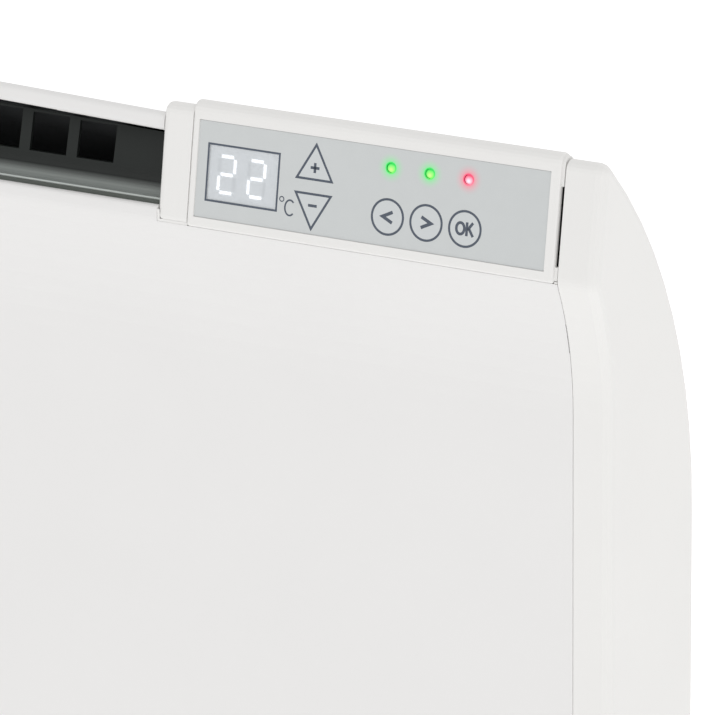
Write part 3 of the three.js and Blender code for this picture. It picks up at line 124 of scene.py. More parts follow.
def remap(tree: Tree, value: Socket, source: Point, target: Point = (0.0, 1.0)) -> Socket:
    """Adds a map from one range of values to another, held at its ends.

    Args:
        tree: Node tree of the material.
        value: Value that is mapped.
        source: First and last value that it is mapped from.
        target: What those two become.

    Returns:
        The mapped value.
    """
    limits = {"From Min": source[0], "From Max": source[1], "To Min": target[0], "To Max": target[1]}
    return add_node(tree, "ShaderNodeMapRange", limits, {"Value": value}).outputs["Result"]


def mix(tree: Tree, share: Socket, first: str | Socket, second: str | Socket) -> Socket:
    """Adds a mix of two colours, each a hex colour or a socket.

    Args:
        tree: Node tree of the material.
        share: Share of the second colour, from 0 to 1.
        first: Colour at a share of 0.
        second: Colour at a share of 1.

    Returns:
        The mixed colour.
    """
    settings: dict[Any, Any] = {"data_type": "RGBA"}
    links: dict[Any, Socket] = {0: share}
    for number, colour in zip(MIX_COLOURS, (first, second)):
        if isinstance(colour, str):
            settings[number] = linear(colour)
        else:
            links[number] = colour
    return add_node(tree, "ShaderNodeMix", settings, links).outputs[MIX_RESULT]


def face_matrix() -> Matrix:
    """Returns the matrix from the control face's own axes, in metres, to the frame's."""
    return Matrix.Translation(Vector(FACE_CENTRE) * MM) @ Matrix.Rotation(-FACE_SLANT, 4, "X")


def distance_from(tree: Tree, point: Point) -> Socket:
    """Adds the distance of the shaded point from a point of the control face.

    Args:
        tree: Node tree of the material.
        point: Point across and up the face, in millimetres.

    Returns:
        The distance in metres.
    """
    there = face_matrix() @ (Vector((point[0], 0, point[1])) * MM)
    here = add_node(tree, "ShaderNodeTexCoord").outputs["Object"]
    settings = {"operation": "DISTANCE", 1: tuple(there)}
    return add_node(tree, "ShaderNodeVectorMath", settings, {0: here}).outputs["Value"]


# ---------------------------------------------------------------------------- finishes
@dataclass(frozen=True)
class Finish:
    """A surface finish: two close tones, a roughness range and a fine relief.

    Sizes are real ones in millimetres; the noise scales are worked out from them.
    """

    name: str
    tone: str
    shade: str
    roughness: float
    roughness_spread: float
    metallic: float = 0.0
    ior: float = 1.5
    mottle_mm: float = 40.0
    grain_mm: float = 0.9
    relief_mm: float = 0.012
    stretch: Triple = (1.0, 1.0, 1.0)

    def material(self) -> bpy.types.Material:
        """Builds the finish, or returns it where it was built before."""
        found = bpy.data.materials.get(self.name)
        if found is not None:
            return found
        made = bpy.data.materials.new(self.name)
        made.use_nodes = True
        tree = made.node_tree
        tree.nodes.clear()
        shader = self.surface(tree)
        output = add_node(tree, "ShaderNodeOutputMaterial")
        tree.links.new(shader, output.inputs["Surface"])
        return made

    def place(self, tree: Tree) -> Socket:
        """Adds the coordinates of the pattern, drawn out along the grain of the metal."""
        where = add_node(tree, "ShaderNodeTexCoord")
        links = {"Vector": where.outputs["Object"]}
        return add_node(tree, "ShaderNodeMapping", {"Scale": self.stretch}, links).outputs["Vector"]

    def noise(self, tree: Tree, place: Socket, size_mm: float, detail: float = 3.0) -> Socket:
        """Adds a noise whose lumps have the given size.

        Args:
            tree: Node tree of the material.
            place: Coordinates in metres.
            size_mm: Size of a lump.
            detail: Number of finer layers.

        Returns:
            The noise's value, from 0 to 1.
        """
        scale = 1 / (size_mm * MM)
        made = add_node(tree, "ShaderNodeTexNoise", {"Scale": scale, "Detail": detail}, {"Vector": place})
        return made.outputs["Fac"]

    def colour(self, tree: Tree, place: Socket) -> Socket:
        """Adds the slow drift between the two tones."""
        return mix(tree, self.noise(tree, place, self.mottle_mm), self.tone, self.shade)

    def rough(self, tree: Tree, place: Socket) -> Socket:
        """Adds the roughness, which drifts a little over the surface."""
        drift = self.noise(tree, place, self.mottle_mm / 3)
        low, high = self.roughness - self.roughness_spread, self.roughness + self.roughness_spread
        return remap(tree, drift, (0.0, 1.0), (low, high))

    def relief(self, tree: Tree, place: Socket) -> Socket:
        """Adds the fine relief of the surface as a bump."""
        height = self.noise(tree, place, self.grain_mm, 2.0)
        settings = {"Strength": 1.0, "Distance": self.relief_mm * MM}
        return add_node(tree, "ShaderNodeBump", settings, {"Height": height}).outputs["Normal"]

    def settings(self) -> dict[str, Any]:
        """Returns the shader's even values by the input that takes each."""
        return {"Metallic": self.metallic, "IOR": self.ior}

    def links(self, tree: Tree) -> dict[str, Socket]:
        """Adds what varies over the surface, and returns it by the shader's input that takes it."""
        place = self.place(tree)
        return {
            "Base Color": self.colour(tree, place),
            "Roughness": self.rough(tree, place),
            "Normal": self.relief(tree, place),
        }

    def surface(self, tree: Tree) -> Socket:
        """Adds the whole shader.

        Args:
            tree: Node tree of the material.

        Returns:
            The shader's output.
        """
        return add_node(tree, "ShaderNodeBsdfPrincipled", self.settings(), self.links(tree)).outputs["BSDF"]


@dataclass(frozen=True)
class GalvanisedSheet(Finish):
    """Hot-dip galvanised steel sheet: flat zinc crystals catch the light each in their own tone."""

    spangle_mm: float = 5.0

    def colour(self, tree: Tree, place: Socket) -> Socket:
        """Adds a tone for each crystal of the zinc."""
        scale = 1 / (self.spangle_mm * MM)
        cells = add_node(tree, "ShaderNodeTexVoronoi", {"Scale": scale}, {"Vector": place})
        grey = add_node(tree, "ShaderNodeSeparateColor", {}, {0: cells.outputs["Color"]}).outputs[0]
        return mix(tree, grey, self.tone, self.shade)


@dataclass(frozen=True)
class GlowingPlastic(Finish):
    """Plastic that glows evenly under a glossy skin: lit diodes and digits, the evenly lit floor, and a
    painted glow on the unlit bars and the display's reflector.
    """

    glow: str = "#ffffff"
    strength: float = 1.0

    def settings(self) -> dict[str, Any]:
        """Returns the skin's even values and its even glow."""
        light = {"Emission Color": linear(self.glow), "Emission Strength": self.strength}
        return {**Finish.settings(self), **light}


@dataclass(frozen=True)
class DiodeLens(GlowingPlastic):
    """Diffusing diode lens: pale over its chip, deeply coloured and dimmer towards its rim."""

    core: str = "#ffffff"
    centre: Point = (0.0, 0.0)
    chip_mm: float = 0.25
    rim_mm: float = 1.55
    rim_share: float = 0.5

    def links(self, tree: Tree) -> dict[str, Socket]:
        """Adds the skin, and a glow that falls off from the chip to the rim."""
        away = distance_from(tree, self.centre)
        rim = remap(tree, away, (self.chip_mm * MM, self.rim_mm * MM))
        power = remap(tree, rim, (0.0, 1.0), (self.strength, self.rim_share * self.strength))
        light = {"Emission Color": mix(tree, rim, self.core, self.glow), "Emission Strength": power}
        return {**Finish.links(self, tree), **light}


@dataclass(frozen=True)
class GlowingFoil(Finish):
    """Printed foil with the diodes' light painted round each one, as a tint and a soft glow."""

    spots: tuple[tuple[Point, str], ...] = ()
    rim_mm: float = 1.5
    reach_mm: float = 5.0
    falloff: float = 2.2
    painted_tint: float = 0.8
    strength: float = 0.12

    def nearness(self, tree: Tree, centre: Point, most: float) -> Socket:
        """Adds a value that falls from the given one at a diode's rim to nothing at the end of its reach.

        Args:
            tree: Node tree of the material.
            centre: Middle of the diode on the face, in millimetres.
            most: Value at the rim.

        Returns:
            The value.
        """
        away = distance_from(tree, centre)
        near = remap(tree, away, (self.rim_mm * MM, self.reach_mm * MM), (1.0, 0.0))
        soft = add_node(tree, "ShaderNodeMath", {"operation": "POWER", 1: self.falloff}, {0: near})
        links = {0: soft.outputs[0]}
        return add_node(tree, "ShaderNodeMath", {"operation": "MULTIPLY", 1: most}, links).outputs[0]

    def colour(self, tree: Tree, place: Socket) -> Socket:
        """Adds the foil's tones, tinted by the painted light of each diode near it."""
        mixed = Finish.colour(self, tree, place)
        for centre, painted_tint in self.spots:
            mixed = mix(tree, self.nearness(tree, centre, self.painted_tint), mixed, painted_tint)
        return mixed

    def surface(self, tree: Tree) -> Socket:
        """Adds the foil's skin and a soft patch of light round each diode."""
        skin = Finish.surface(self, tree)
        for centre, colour in self.spots:
            power = self.nearness(tree, centre, self.strength)
            glow = add_node(tree, "ShaderNodeEmission", {"Color": linear(colour)}, {"Strength": power})
            light = glow.outputs[0]
            skin = add_node(tree, "ShaderNodeAddShader", {}, {0: skin, 1: light}).outputs[0]
        return skin


@dataclass(frozen=True)
class TintedWindow(Finish):
    """Matt printed window over the digits: most light passes, and its grain softens what lies behind."""

    clearness: float = 0.6

    def surface(self, tree: Tree) -> Socket:
        """Adds the foil's own skin over a see-through film."""
        skin = Finish.surface(self, tree)
        film = add_node(tree, "ShaderNodeBsdfTransparent", {"Color": (1, 1, 1, 1)}).outputs[0]
        return add_node(tree, "ShaderNodeMixShader", {0: self.clearness}, {1: skin, 2: film}).outputs[0]


@dataclass(frozen=True)
class FrontLitSheet(Finish):
    """Dark pre-coated sheet with a painted light that grows towards its front edge."""

    painted_light: str = "#ffffff"
    light_start_mm: float = 0.0
    light_full_mm: float = 1.0

    def colour(self, tree: Tree, place: Socket) -> Socket:
        """Adds the two tones and, over them, the painted light that grows towards the front."""
        dark = Finish.colour(self, tree, place)
        where = add_node(tree, "ShaderNodeTexCoord").outputs["Object"]
        depth = add_node(tree, "ShaderNodeSeparateXYZ", {}, {0: where}).outputs["Y"]
        share = remap(tree, depth, (self.light_start_mm * MM, self.light_full_mm * MM))
        return mix(tree, share, dark, self.painted_light)


DIODES = ((6.55, 8.7), (19.53, 8.7), (32.51, 8.7))  # across and up the face, in millimetres
GLOW_CORE_OFFSET = (0.2, -0.35)  # the bright core of a diode's glow sits a little right of and below the middle of its lens
GREEN_LIGHT = ("#2fae48", "#36b850", "#34d860", "#d2f57e", 1.1)  # lens tones, glow, core and strength
RED_LIGHT = ("#b8405c", "#c04862", "#ec5878", "#ffe6ee", 1.2)

# Polyester powder baked on steel: an even satin white with a shallow orange peel about a millimetre across.
POWDER_COAT = Finish("powder_coat_white", "#e3e2e1", "#e0dfde", 0.52, 0.04, grain_mm=1.1, relief_mm=0.009)
# Injection-moulded ABS from a spark-eroded tool: the same white, a finer and denser grain than the paint.
MOULDED_ABS = Finish("moulded_abs_white", "#e6e5e3", "#e3e2e0", 0.55, 0.05, ior=1.53, grain_mm=0.5,
                     relief_mm=0.006)
# Screen-printed polycarbonate foil, matt side out: silver-grey pigment with a fine sparkle of its own, and
# the diodes' light painted round each one.
SILVER_FOIL = GlowingFoil("printed_foil_silver", "#c7caca", "#c3c6c6", 0.5, 0.06, ior=1.58, mottle_mm=6,
                          grain_mm=0.35, relief_mm=0.004,
                          spots=tuple(zip(DIODES, ("#5fe87c", "#5fe87c", "#f5708a"))))
KEY_FOIL = Finish("printed_foil_key", "#c9cccd", "#c5c9ca", 0.48, 0.05, ior=1.58, mottle_mm=5,
                  grain_mm=0.35,
                  relief_mm=0.004)
# Slate-blue screen ink: flat pigment, a little deeper where the squeegee left more.
SCREEN_INK = Finish("screen_ink_slate", "#474e59", "#515966", 0.6, 0.05, mottle_mm=1.5, grain_mm=0.2,
                    relief_mm=0.003)
WHITE_INK = Finish("pad_print_white", "#e8e8e6", "#dededb", 0.5, 0.05, mottle_mm=1.5, grain_mm=0.2,
                   relief_mm=0.003)
GALVANISED = GalvanisedSheet("galvanised_sheet", "#a8adae", "#8b9192", 0.34, 0.08, metallic=1.0,
                             grain_mm=1.4,
                             relief_mm=0.006)
# Pre-coated dark steel of the slotted outlet: smooth, with a low gloss that lights up only where it curves.
OUTLET_SHEET = Finish("outlet_sheet_dark", "#202422", "#1c201e", 0.5, 0.05, mottle_mm=25, grain_mm=1.2,
                      relief_mm=0.004, ior=1.36)
# The outlet's sill: the same dark coat, with a painted light that grows towards its front edge.
OUTLET_FOOT = FrontLitSheet("outlet_foot_painted_light", "#1c201e", "#181c1a", 0.46, 0.05, mottle_mm=25, grain_mm=1.2,
                         relief_mm=0.004, ior=1.36, painted_light="#959a97", light_start_mm=-74.9, light_full_mm=-77.3)
# The sill's rolled edge: steel whose pale tone paints the highlight along it, with a fine brushed run along
# its length.
EDGE_STEEL_HIGHLIGHT = Finish("edge_steel_painted_highlight", "#c4c9c6", "#b2b8b4", 0.5, 0.1, metallic=0.6, mottle_mm=9,
                      grain_mm=0.5,
                      relief_mm=0.006, stretch=(0.15, 1.0, 1.0))
# Return flange under that edge: the same dark coat, shown as a mid grey that paints the shadow in the gap
# behind the rolled edge.
GAP_SHADOW_SHEET = Finish("gap_shadow_sheet", "#6a6f6b", "#60655f", 0.7, 0.06, mottle_mm=14, grain_mm=0.7,
                     relief_mm=0.01)
# Painted shade inside the casing: a grey-black finish on the sheets' inner faces, where the inside lies in
# shadow.
INNER_PAINTED_SHADE = Finish("inner_painted_shade", "#2b2d2e", "#232526", 0.7, 0.08, mottle_mm=30, grain_mm=0.8,
                     relief_mm=0.01)
# Extruded aluminium: fine die lines run along the length.
EXTRUDED_ALUMINIUM = Finish("extruded_aluminium", "#bfc2c4", "#a9adb0", 0.34, 0.08, metallic=1.0,
                            mottle_mm=12,
                            grain_mm=0.4, relief_mm=0.01, stretch=(0.03, 1.0, 1.0))
# Blue-passivated zinc plate on pressed steel: bright, with a cool, slightly uneven tone.
ZINC_PLATE = Finish("zinc_plate", "#b9bec6", "#9ca2ab", 0.27, 0.08, metallic=1.0, mottle_mm=6, grain_mm=0.6,
                    relief_mm=0.004)
# Patented spring wire, drawn bright: marks run round the die.
SPRING_WIRE = Finish("spring_wire", "#8d9196", "#74787d", 0.25, 0.06, metallic=1.0, mottle_mm=4,
                     grain_mm=0.3,
                     relief_mm=0.003)
BRASS = Finish("turned_brass", "#c9a452", "#b58f42", 0.28, 0.07, metallic=1.0, mottle_mm=5, grain_mm=0.3,
               relief_mm=0.004)
# Unglazed steatite: a dry cream body with a chalky grain.
STEATITE = Finish("steatite", "#e6dfcd", "#dbd2bd", 0.75, 0.06, mottle_mm=4, grain_mm=0.4, relief_mm=0.01)
# Glass-filled polyamide, black: matt, with the faint grey of fibres near the skin.
BLACK_POLYAMIDE = Finish("polyamide_black", "#1d1e20", "#2a2b2d", 0.5, 0.08, mottle_mm=8, grain_mm=0.6,
                         relief_mm=0.008)
GREY_POLYAMIDE = Finish("polyamide_grey", "#8a8d90", "#7e8184", 0.5, 0.07, mottle_mm=8, grain_mm=0.6,
                        relief_mm=0.008)
# Solder mask over copper: glossy green that shows the tracks under it as a lighter tone.
SOLDER_MASK = Finish("solder_mask", "#2c6a45", "#377a52", 0.28, 0.06, mottle_mm=3, grain_mm=1.2,
                     relief_mm=0.02)
RED_PVC = Finish("pvc_red", "#a3362f", "#8f2c27", 0.45, 0.06, mottle_mm=10, grain_mm=0.5, relief_mm=0.005)
BLUE_PVC = Finish("pvc_blue", "#2c4d90", "#254180", 0.45, 0.06, mottle_mm=10, grain_mm=0.5, relief_mm=0.005)
WHITE_SILICONE = Finish("silicone_white", "#dedbd2", "#d0ccc2", 0.6, 0.06, mottle_mm=10, grain_mm=0.5,
                        relief_mm=0.008)
# Diffused epoxy lens of a 3 mm diode, lit: its middle burns out to a pale tone over the chip.
LENSES = tuple(
    DiodeLens(f"diode_lens_{i + 1}", tone, shade, 0.2, 0.04, mottle_mm=2, glow=glow, core=core,
              strength=power, centre=(x + GLOW_CORE_OFFSET[0], z + GLOW_CORE_OFFSET[1]))
    for i, ((x, z), (tone, shade, glow, core, power)) in enumerate(
        zip(DIODES, (GREEN_LIGHT, GREEN_LIGHT, RED_LIGHT))
    )
)
# Seven-segment display: bars that light or stay grey in a pale reflector, behind a matt printed window. The
# grey bars and the reflector carry a painted glow that evens out their shading.
LIT_SEGMENT = GlowingPlastic("lit_segment", "#ffffff", "#f4f7ff", 0.4, 0.05, mottle_mm=2, glow="#fafbff",
                         strength=1.05)
UNLIT_SEGMENT_PAINTED_GLOW = GlowingPlastic("unlit_segment_painted_glow", "#8f9396", "#8a8e92", 0.5, 0.05, mottle_mm=3, grain_mm=0.4,
                           relief_mm=0.003,
                           glow="#dfe2e5", strength=0.36)
DISPLAY_FACE_PAINTED_GLOW = GlowingPlastic("display_face_painted_glow", "#b4b7b9", "#afb2b4", 0.5, 0.05, mottle_mm=5, grain_mm=0.4,
                          relief_mm=0.003,
                          glow="#dfe2e5", strength=0.42)
DISPLAY_WINDOW = TintedWindow("display_window_film", "#dadde0", "#d6dadd", 0.35, 0.05, ior=1.58,
                              mottle_mm=6,
                              grain_mm=0.3, relief_mm=0.002)
# Opal acrylic table, lit a little from below, so that it stays an even white.
STUDIO_FLOOR = GlowingPlastic("studio_floor", "#f7f7f7", "#f6f6f6", 0.8, 0.05, mottle_mm=800, grain_mm=6,
                          relief_mm=0.05,
                          glow="#ffffff", strength=0.36)


# ---------------------------------------------------------------------------- mesh helpers
NODE_CREASE = math.radians(38)  # a CAD node's edges that turn more than this stay sharp
PIECE_CREASE = math.radians(35)  # the same for the pieces added here


def dress(node_names: Iterable[str], finish: Finish) -> None:
    """Gives CAD nodes a finish, with smooth curves and crisp edges.

    Args:
        node_names: Names of the CAD nodes.
        finish: Finish that they get.
    """
    for name in node_names:
        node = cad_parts[name]
        mesh = node.data
        mesh.materials.clear()
        mesh.materials.append(finish.material())
        mesh.shade_smooth()
        mesh.set_sharp_from_angle(angle=NODE_CREASE)
        weighted = node.modifiers.new("even_normals", "WEIGHTED_NORMAL")
        weighted.keep_sharp = True


@dataclass
class Ribbon:
    """A printed or raised line of even width on the control face.

    Points are [across, up] in millimetres from the middle of the face; depths are measured into it.
    """

    points: Sequence[Point]
    width: float
    closed: bool = False

    def sides(self) -> list[tuple[Point, Point]]:
        """Returns the two edge points beside each point of the line."""
        count = len(self.points)
        found = []
        for i, (x, z) in enumerate(self.points):
            here = Vector((x, z))
            before = Vector(self.points[(i - 1) % count]) if self.closed or i > 0 else None
            after = Vector(self.points[(i + 1) % count]) if self.closed or i < count - 1 else None
            first = (here - before if before is not None else after - here).normalized()
            second = (after - here if after is not None else here - before).normalized()
            across = Vector((-(first.y + second.y), first.x + second.x))
            across *= self.width / 2 / (1 + first.dot(second))
            found.append(((here + across)[:], (here - across)[:]))
        return found

    def add(self, mesh: BMesh, front: float, back: float) -> None:
        """Adds the line to a mesh as a closed solid.

        Args:
            mesh: Mesh in the face's own axes, in metres.
            front: Depth of its front, in millimetres.
            back: Depth of its back, in millimetres.
        """
        rows = []
        for left, right in self.sides():
            corners = [(left, front), (right, front), (right, back), (left, back)]
            rows.append([mesh.verts.new((p[0] * MM, depth * MM, p[1] * MM)) for p, depth in corners])
        pairs = list(zip(rows, rows[1:]))
        if self.closed:
            pairs.append((rows[-1], rows[0]))
        else:
            mesh.faces.new(rows[0][::-1])
            mesh.faces.new(rows[-1])
        for a, b in pairs:
            for i in range(4):
                j = (i + 1) % 4
                mesh.faces.new((a[i], a[j], b[j], b[i]))


def arc(
    x: float, z: float, radius: float, start: float = 0.0, end: float = 360.0, steps: int = 48
) -> list[Point]:
    """Returns points along an arc; a whole turn leaves out the last point, which is the first.

    Args:
        x: Centre across.
        z: Centre up.
        radius: Radius of the arc.
        start: First angle in degrees.
        end: Last angle in degrees.
        steps: Number of steps along it.

    Returns:
        The points.
    """
    whole = abs(end - start) >= 360
    count = steps if whole else steps + 1
    angles = [math.radians(start + (end - start) * i / steps) for i in range(count)]
    return [(x + radius * math.cos(a), z + radius * math.sin(a)) for a in angles]


def make_piece(name: str, mesh: BMesh, finish: Finish, body: str) -> bpy.types.Object:
    """Turns a mesh into a named piece that rides on a CAD body.

    Args:
        name: Name of the piece.
        mesh: Mesh in the frame's axes, in metres; it is used up.
        finish: Finish of the piece.
        body: CAD body that it moves with.

    Returns:
        The new object.
    """
    bmesh.ops.recalc_face_normals(mesh, faces=mesh.faces)
    data = bpy.data.meshes.new(name)
    mesh.to_mesh(data)
    mesh.free()
    data.materials.append(finish.material())
    data.shade_smooth()
    data.set_sharp_from_angle(angle=PIECE_CREASE)
    piece = bpy.data.objects.new(name, data)
    bpy.context.scene.collection.objects.link(piece)
    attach(piece, body)
    return piece


@dataclass(frozen=True)
class Seam:
    """Thin lip of the same finish that stands in the gap beside a CAD node, set back from its outer face.

    It grows from the node's flat faces that look one way, inside a box of limits in millimetres.
    """

    name: str
    node: str
    way: Triple
    low: Triple
    high: Triple
    reach: float
    recess: float
    finish: Finish
    slot: str
    straightness: float = 0.93
    same_point: float = 0.001
    flatness: float = math.radians(0.5)

    def base(self) -> BMesh:
        """Returns the node's faces that the lip grows from, cut off at the limits."""
        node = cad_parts[self.node]
        mesh = bmesh.new()
        mesh.from_mesh(node.data)
        mesh.transform(node.matrix_world)
        way = Vector(self.way)
        for axis in range(3):
            across = Vector([float(i == axis) for i in range(3)])
            for limit, side in ((self.low[axis], -1), (self.high[axis], 1)):
                everything = mesh.verts[:] + mesh.edges[:] + mesh.faces[:]
                where = {"plane_co": across * limit * MM, "plane_no": across * side}
                bmesh.ops.bisect_plane(mesh, geom=everything, clear_outer=True, **where)
        others = [face for face in mesh.faces if face.normal.dot(way) < self.straightness]
        bmesh.ops.delete(mesh, geom=others, context="FACES")
        bmesh.ops.remove_doubles(mesh, verts=mesh.verts, dist=self.same_point * MM)
        bmesh.ops.dissolve_limit(mesh, angle_limit=self.flatness, verts=mesh.verts, edges=mesh.edges)
        return mesh

    def build(self) -> bpy.types.Object:
        """Adds the lip."""
        mesh = self.base()
        inset = self.recess * MM
        rim = bmesh.ops.inset_region(mesh, faces=mesh.faces, thickness=inset, use_even_offset=True)
        bmesh.ops.delete(mesh, geom=rim["faces"], context="FACES")
        bmesh.ops.triangulate(mesh, faces=mesh.faces)
        step = Vector(self.way) * self.reach * MM
        roots = {vert: mesh.verts.new(vert.co + step) for vert in mesh.verts[:]}
        outline = [edge for edge in mesh.edges if edge.is_boundary]
        for face in mesh.faces[:]:
            mesh.faces.new([roots[vert] for vert in reversed(face.verts)])
        for edge in outline:
            first, second = edge.verts
            mesh.faces.new((first, second, roots[second], roots[first]))
        return make_piece(self.name, mesh, self.finish, HEATER_BODY)


def extrude_profile(
    name: str,
    profile: Sequence[Point],
    ends: Point,
    finish: Finish,
    slot: str,
    axes: str = "XYZ",
) -> bpy.types.Object:
    """Adds a straight bar on the heater.

    Args:
        name: Name of the piece.
        profile: Its outline along the last two axes, in millimetres of the frame.
        ends: Where it begins and ends along the first axis.
        finish: Its finish.
        slot: Material slot of the record; not used.
        axes: The frame's axis that the bar runs along, then the two of its profile.

    Returns:
        The new object.
    """
    mesh = bmesh.new()
    order = [axes.index(axis) for axis in "XYZ"]
    rings = []
    for end in ends:
        corners = [(end, *point) for point in profile]
        rings.append([mesh.verts.new([corner[i] * MM for i in order]) for corner in corners])
    first, last = rings
    mesh.faces.new(first)
    mesh.faces.new(last[::-1])
    for i, vert in enumerate(first):
        mesh.faces.new((vert, first[i - 1], last[i - 1], last[i]))
    return make_piece(name, mesh, finish, HEATER_BODY)


INK_DEPTHS = (-0.02, 0.01)  # front and back of the ink, which stands a little proud of the foil


def print_legend(name: str, ribbons: Sequence[Ribbon], body: str) -> bpy.types.Object:
    """Prints lines on the control face as one piece.

    Args:
        name: Name of the piece.
        ribbons: Lines of the legend.
        body: CAD body that carries them.

    Returns:
        The new object.
    """
    mesh = bmesh.new()
    for ribbon in ribbons:
        ribbon.add(mesh, *INK_DEPTHS)
    mesh.transform(face_matrix())
    return make_piece(name, mesh, SCREEN_INK, body)


PAINTED = (POWDER_COAT, "white_paint")
MOULDED = (MOULDED_ABS, "white_plastic")
LEFT, RIGHT, UP = (-1, 0, 0), (1, 0, 0), (0, 0, 1)
PANEL_LIP = (0.15, 0.04)  # reach and recess, in millimetres
HOUSING_LIP = (0.15, 0.05)
# Lips in the casing's joints: sheet against cap, sheet against housing, and bezel against housing.
SEAMS = (
    Seam("panel_lip_low", "front_panel", RIGHT, (349, -90, -243), (350, 0, 43.5), *PANEL_LIP, *PAINTED),
    Seam("panel_lip_high", "front_panel", RIGHT, (349, -90, 53), (350, 0, 71), *PANEL_LIP, *PAINTED),
    Seam("panel_lip_left", "front_panel", LEFT, (-350, -90, -243), (-349, 0, 71), *PANEL_LIP, *PAINTED),
    Seam("housing_lip_left", "front_panel", RIGHT, (213, -90, 55), (214, -60, 72), *HOUSING_LIP, *PAINTED),
    Seam("housing_lip_foot", "front_panel", UP, (213, -90, 55), (349, -60, 70), 0.14, 0.05, *PAINTED),
    Seam("bezel_lip_left", "module_bezel", LEFT, (224, -90, 60), (225, -40, 110), 0.15, 0.06, *MOULDED),
    Seam("bezel_lip_low", "module_bezel", RIGHT, (348, -90, 60), (349, -40, 71.4), 0.95, 0.08, *MOULDED),
    Seam("bezel_lip_high", "module_bezel", RIGHT, (348, -90, 94.8), (349, -40, 110), 0.8, 0.08, *MOULDED),
)

# Fillets that close the groove between the panel and the housing's rounded edges: outline, ends and axes, in
# millimetres of the frame. The second one stands up the housing's side and the others run along the length.
FILLETS = (
    ("housing_fillet_foot", ((-84.95, 66.5), (-84.98, 67.5), (-84.56, 67.0), (-84.0, 66.62), (-83.9, 66.5)),
     (214.5, 224.2), "XYZ"),
    ("housing_fillet_side", ((213.62, -84.9), (214.6, -84.95), (214.05, -84.5), (213.74, -84.0),
                             (213.7, -83.6), (213.62, -83.6)), (66.5, 70.3), "ZXY"),
    ("bezel_fillet_foot", ((-84.85, 66.52), (-84.85, 67.2), (-83.6, 67.2), (-83.6, 66.42)),
     (348.62, 349.6), "XYZ"),
)


# ---------------------------------------------------------------------------- sub-assemblies
@dataclass
class Casing:
    """Painted steel sheets, plastic end caps and the two air grilles."""

    hem_height: float = -0.225
    hem_place: float = -0.0825
    hem_depth: float = 0.004
    turned_in: float = 0.12
    turned_down: float = -0.5
    lip_turned_down: float = -0.3
    edge: Point = (-80.95, 72.3)
    edge_radius: float = 0.42
    edge_steps: int = 20
    edge_ends: Point = (-349.4, 213.3)
    flange_foot: float = 70.4
    flange_depths: Point = (-0.1, 0.15)
    flange_drop: float = 0.3

    def build(self) -> None:
        """Dresses the casing."""
        dress(["front_panel", "rear_casing", "outlet_lip"], POWDER_COAT)
        dress(["end_cap_left", "end_cap_right", "terminal_cover"], MOULDED_ABS)
        dress(["outlet_grille"], OUTLET_SHEET)
        dress(["outlet_sill"], OUTLET_FOOT)
        for name in ("rear_casing", "front_panel", "outlet_lip"):
            self.shade_inside(name)
        dress(["inlet_grille", "side_plate_left", "side_plate_right", "bulkhead"], GALVANISED)
        dress([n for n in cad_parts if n.startswith("cap_screw")], ZINC_PLATE)
        self.sill_edge()
        for name, outline, ends, axes in FILLETS:
            extrude_profile(name, outline, ends, *MOULDED, axes)
        for seam in SEAMS:
            seam.build()

    def sill_edge(self) -> None:
        """Adds the sill's rolled front edge, whose pale steel paints its highlight, and the flange that it
        turns down behind the panel's hem, whose grey paints the shadow in that gap.
        """
        depth, height = self.edge
        bead = arc(depth, height, self.edge_radius, steps=self.edge_steps)
        extrude_profile("sill_bead", bead, self.edge_ends, EDGE_STEEL_HIGHLIGHT, "dark_sheet")
        front, back = depth + self.flange_depths[0], depth + self.flange_depths[1]
        head, foot = height - self.flange_drop, self.flange_foot
        flange = [(front, head), (back, head), (back, foot), (front, foot)]
        extrude_profile("sill_flange", flange, self.edge_ends, GAP_SHADOW_SHEET, "dark_sheet")

    def shade_inside(self, name: str) -> None:
        """Gives a white sheet's inner faces a painted shade: a grey-black finish for the shadow inside the
        casing.

        Args:
            name: Name of the sheet's node.
        """
        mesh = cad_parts[name].data
        mesh.materials.append(INNER_PAINTED_SHADE.material())
        back = 1.0 if name == "front_panel" else -1.0
        for face in mesh.polygons:
            faces_in = face.normal.y * back > self.turned_in
            if name == "outlet_lip":
                faces_in = faces_in and face.normal.z < self.lip_turned_down
            looks_down = back < 0 and face.normal.z < self.turned_down
            off_hem = abs(face.center.y - self.hem_place) > self.hem_depth
            if (looks_down or faces_in) and face.center.z > self.hem_height and off_hem:
                face.material_index = 1


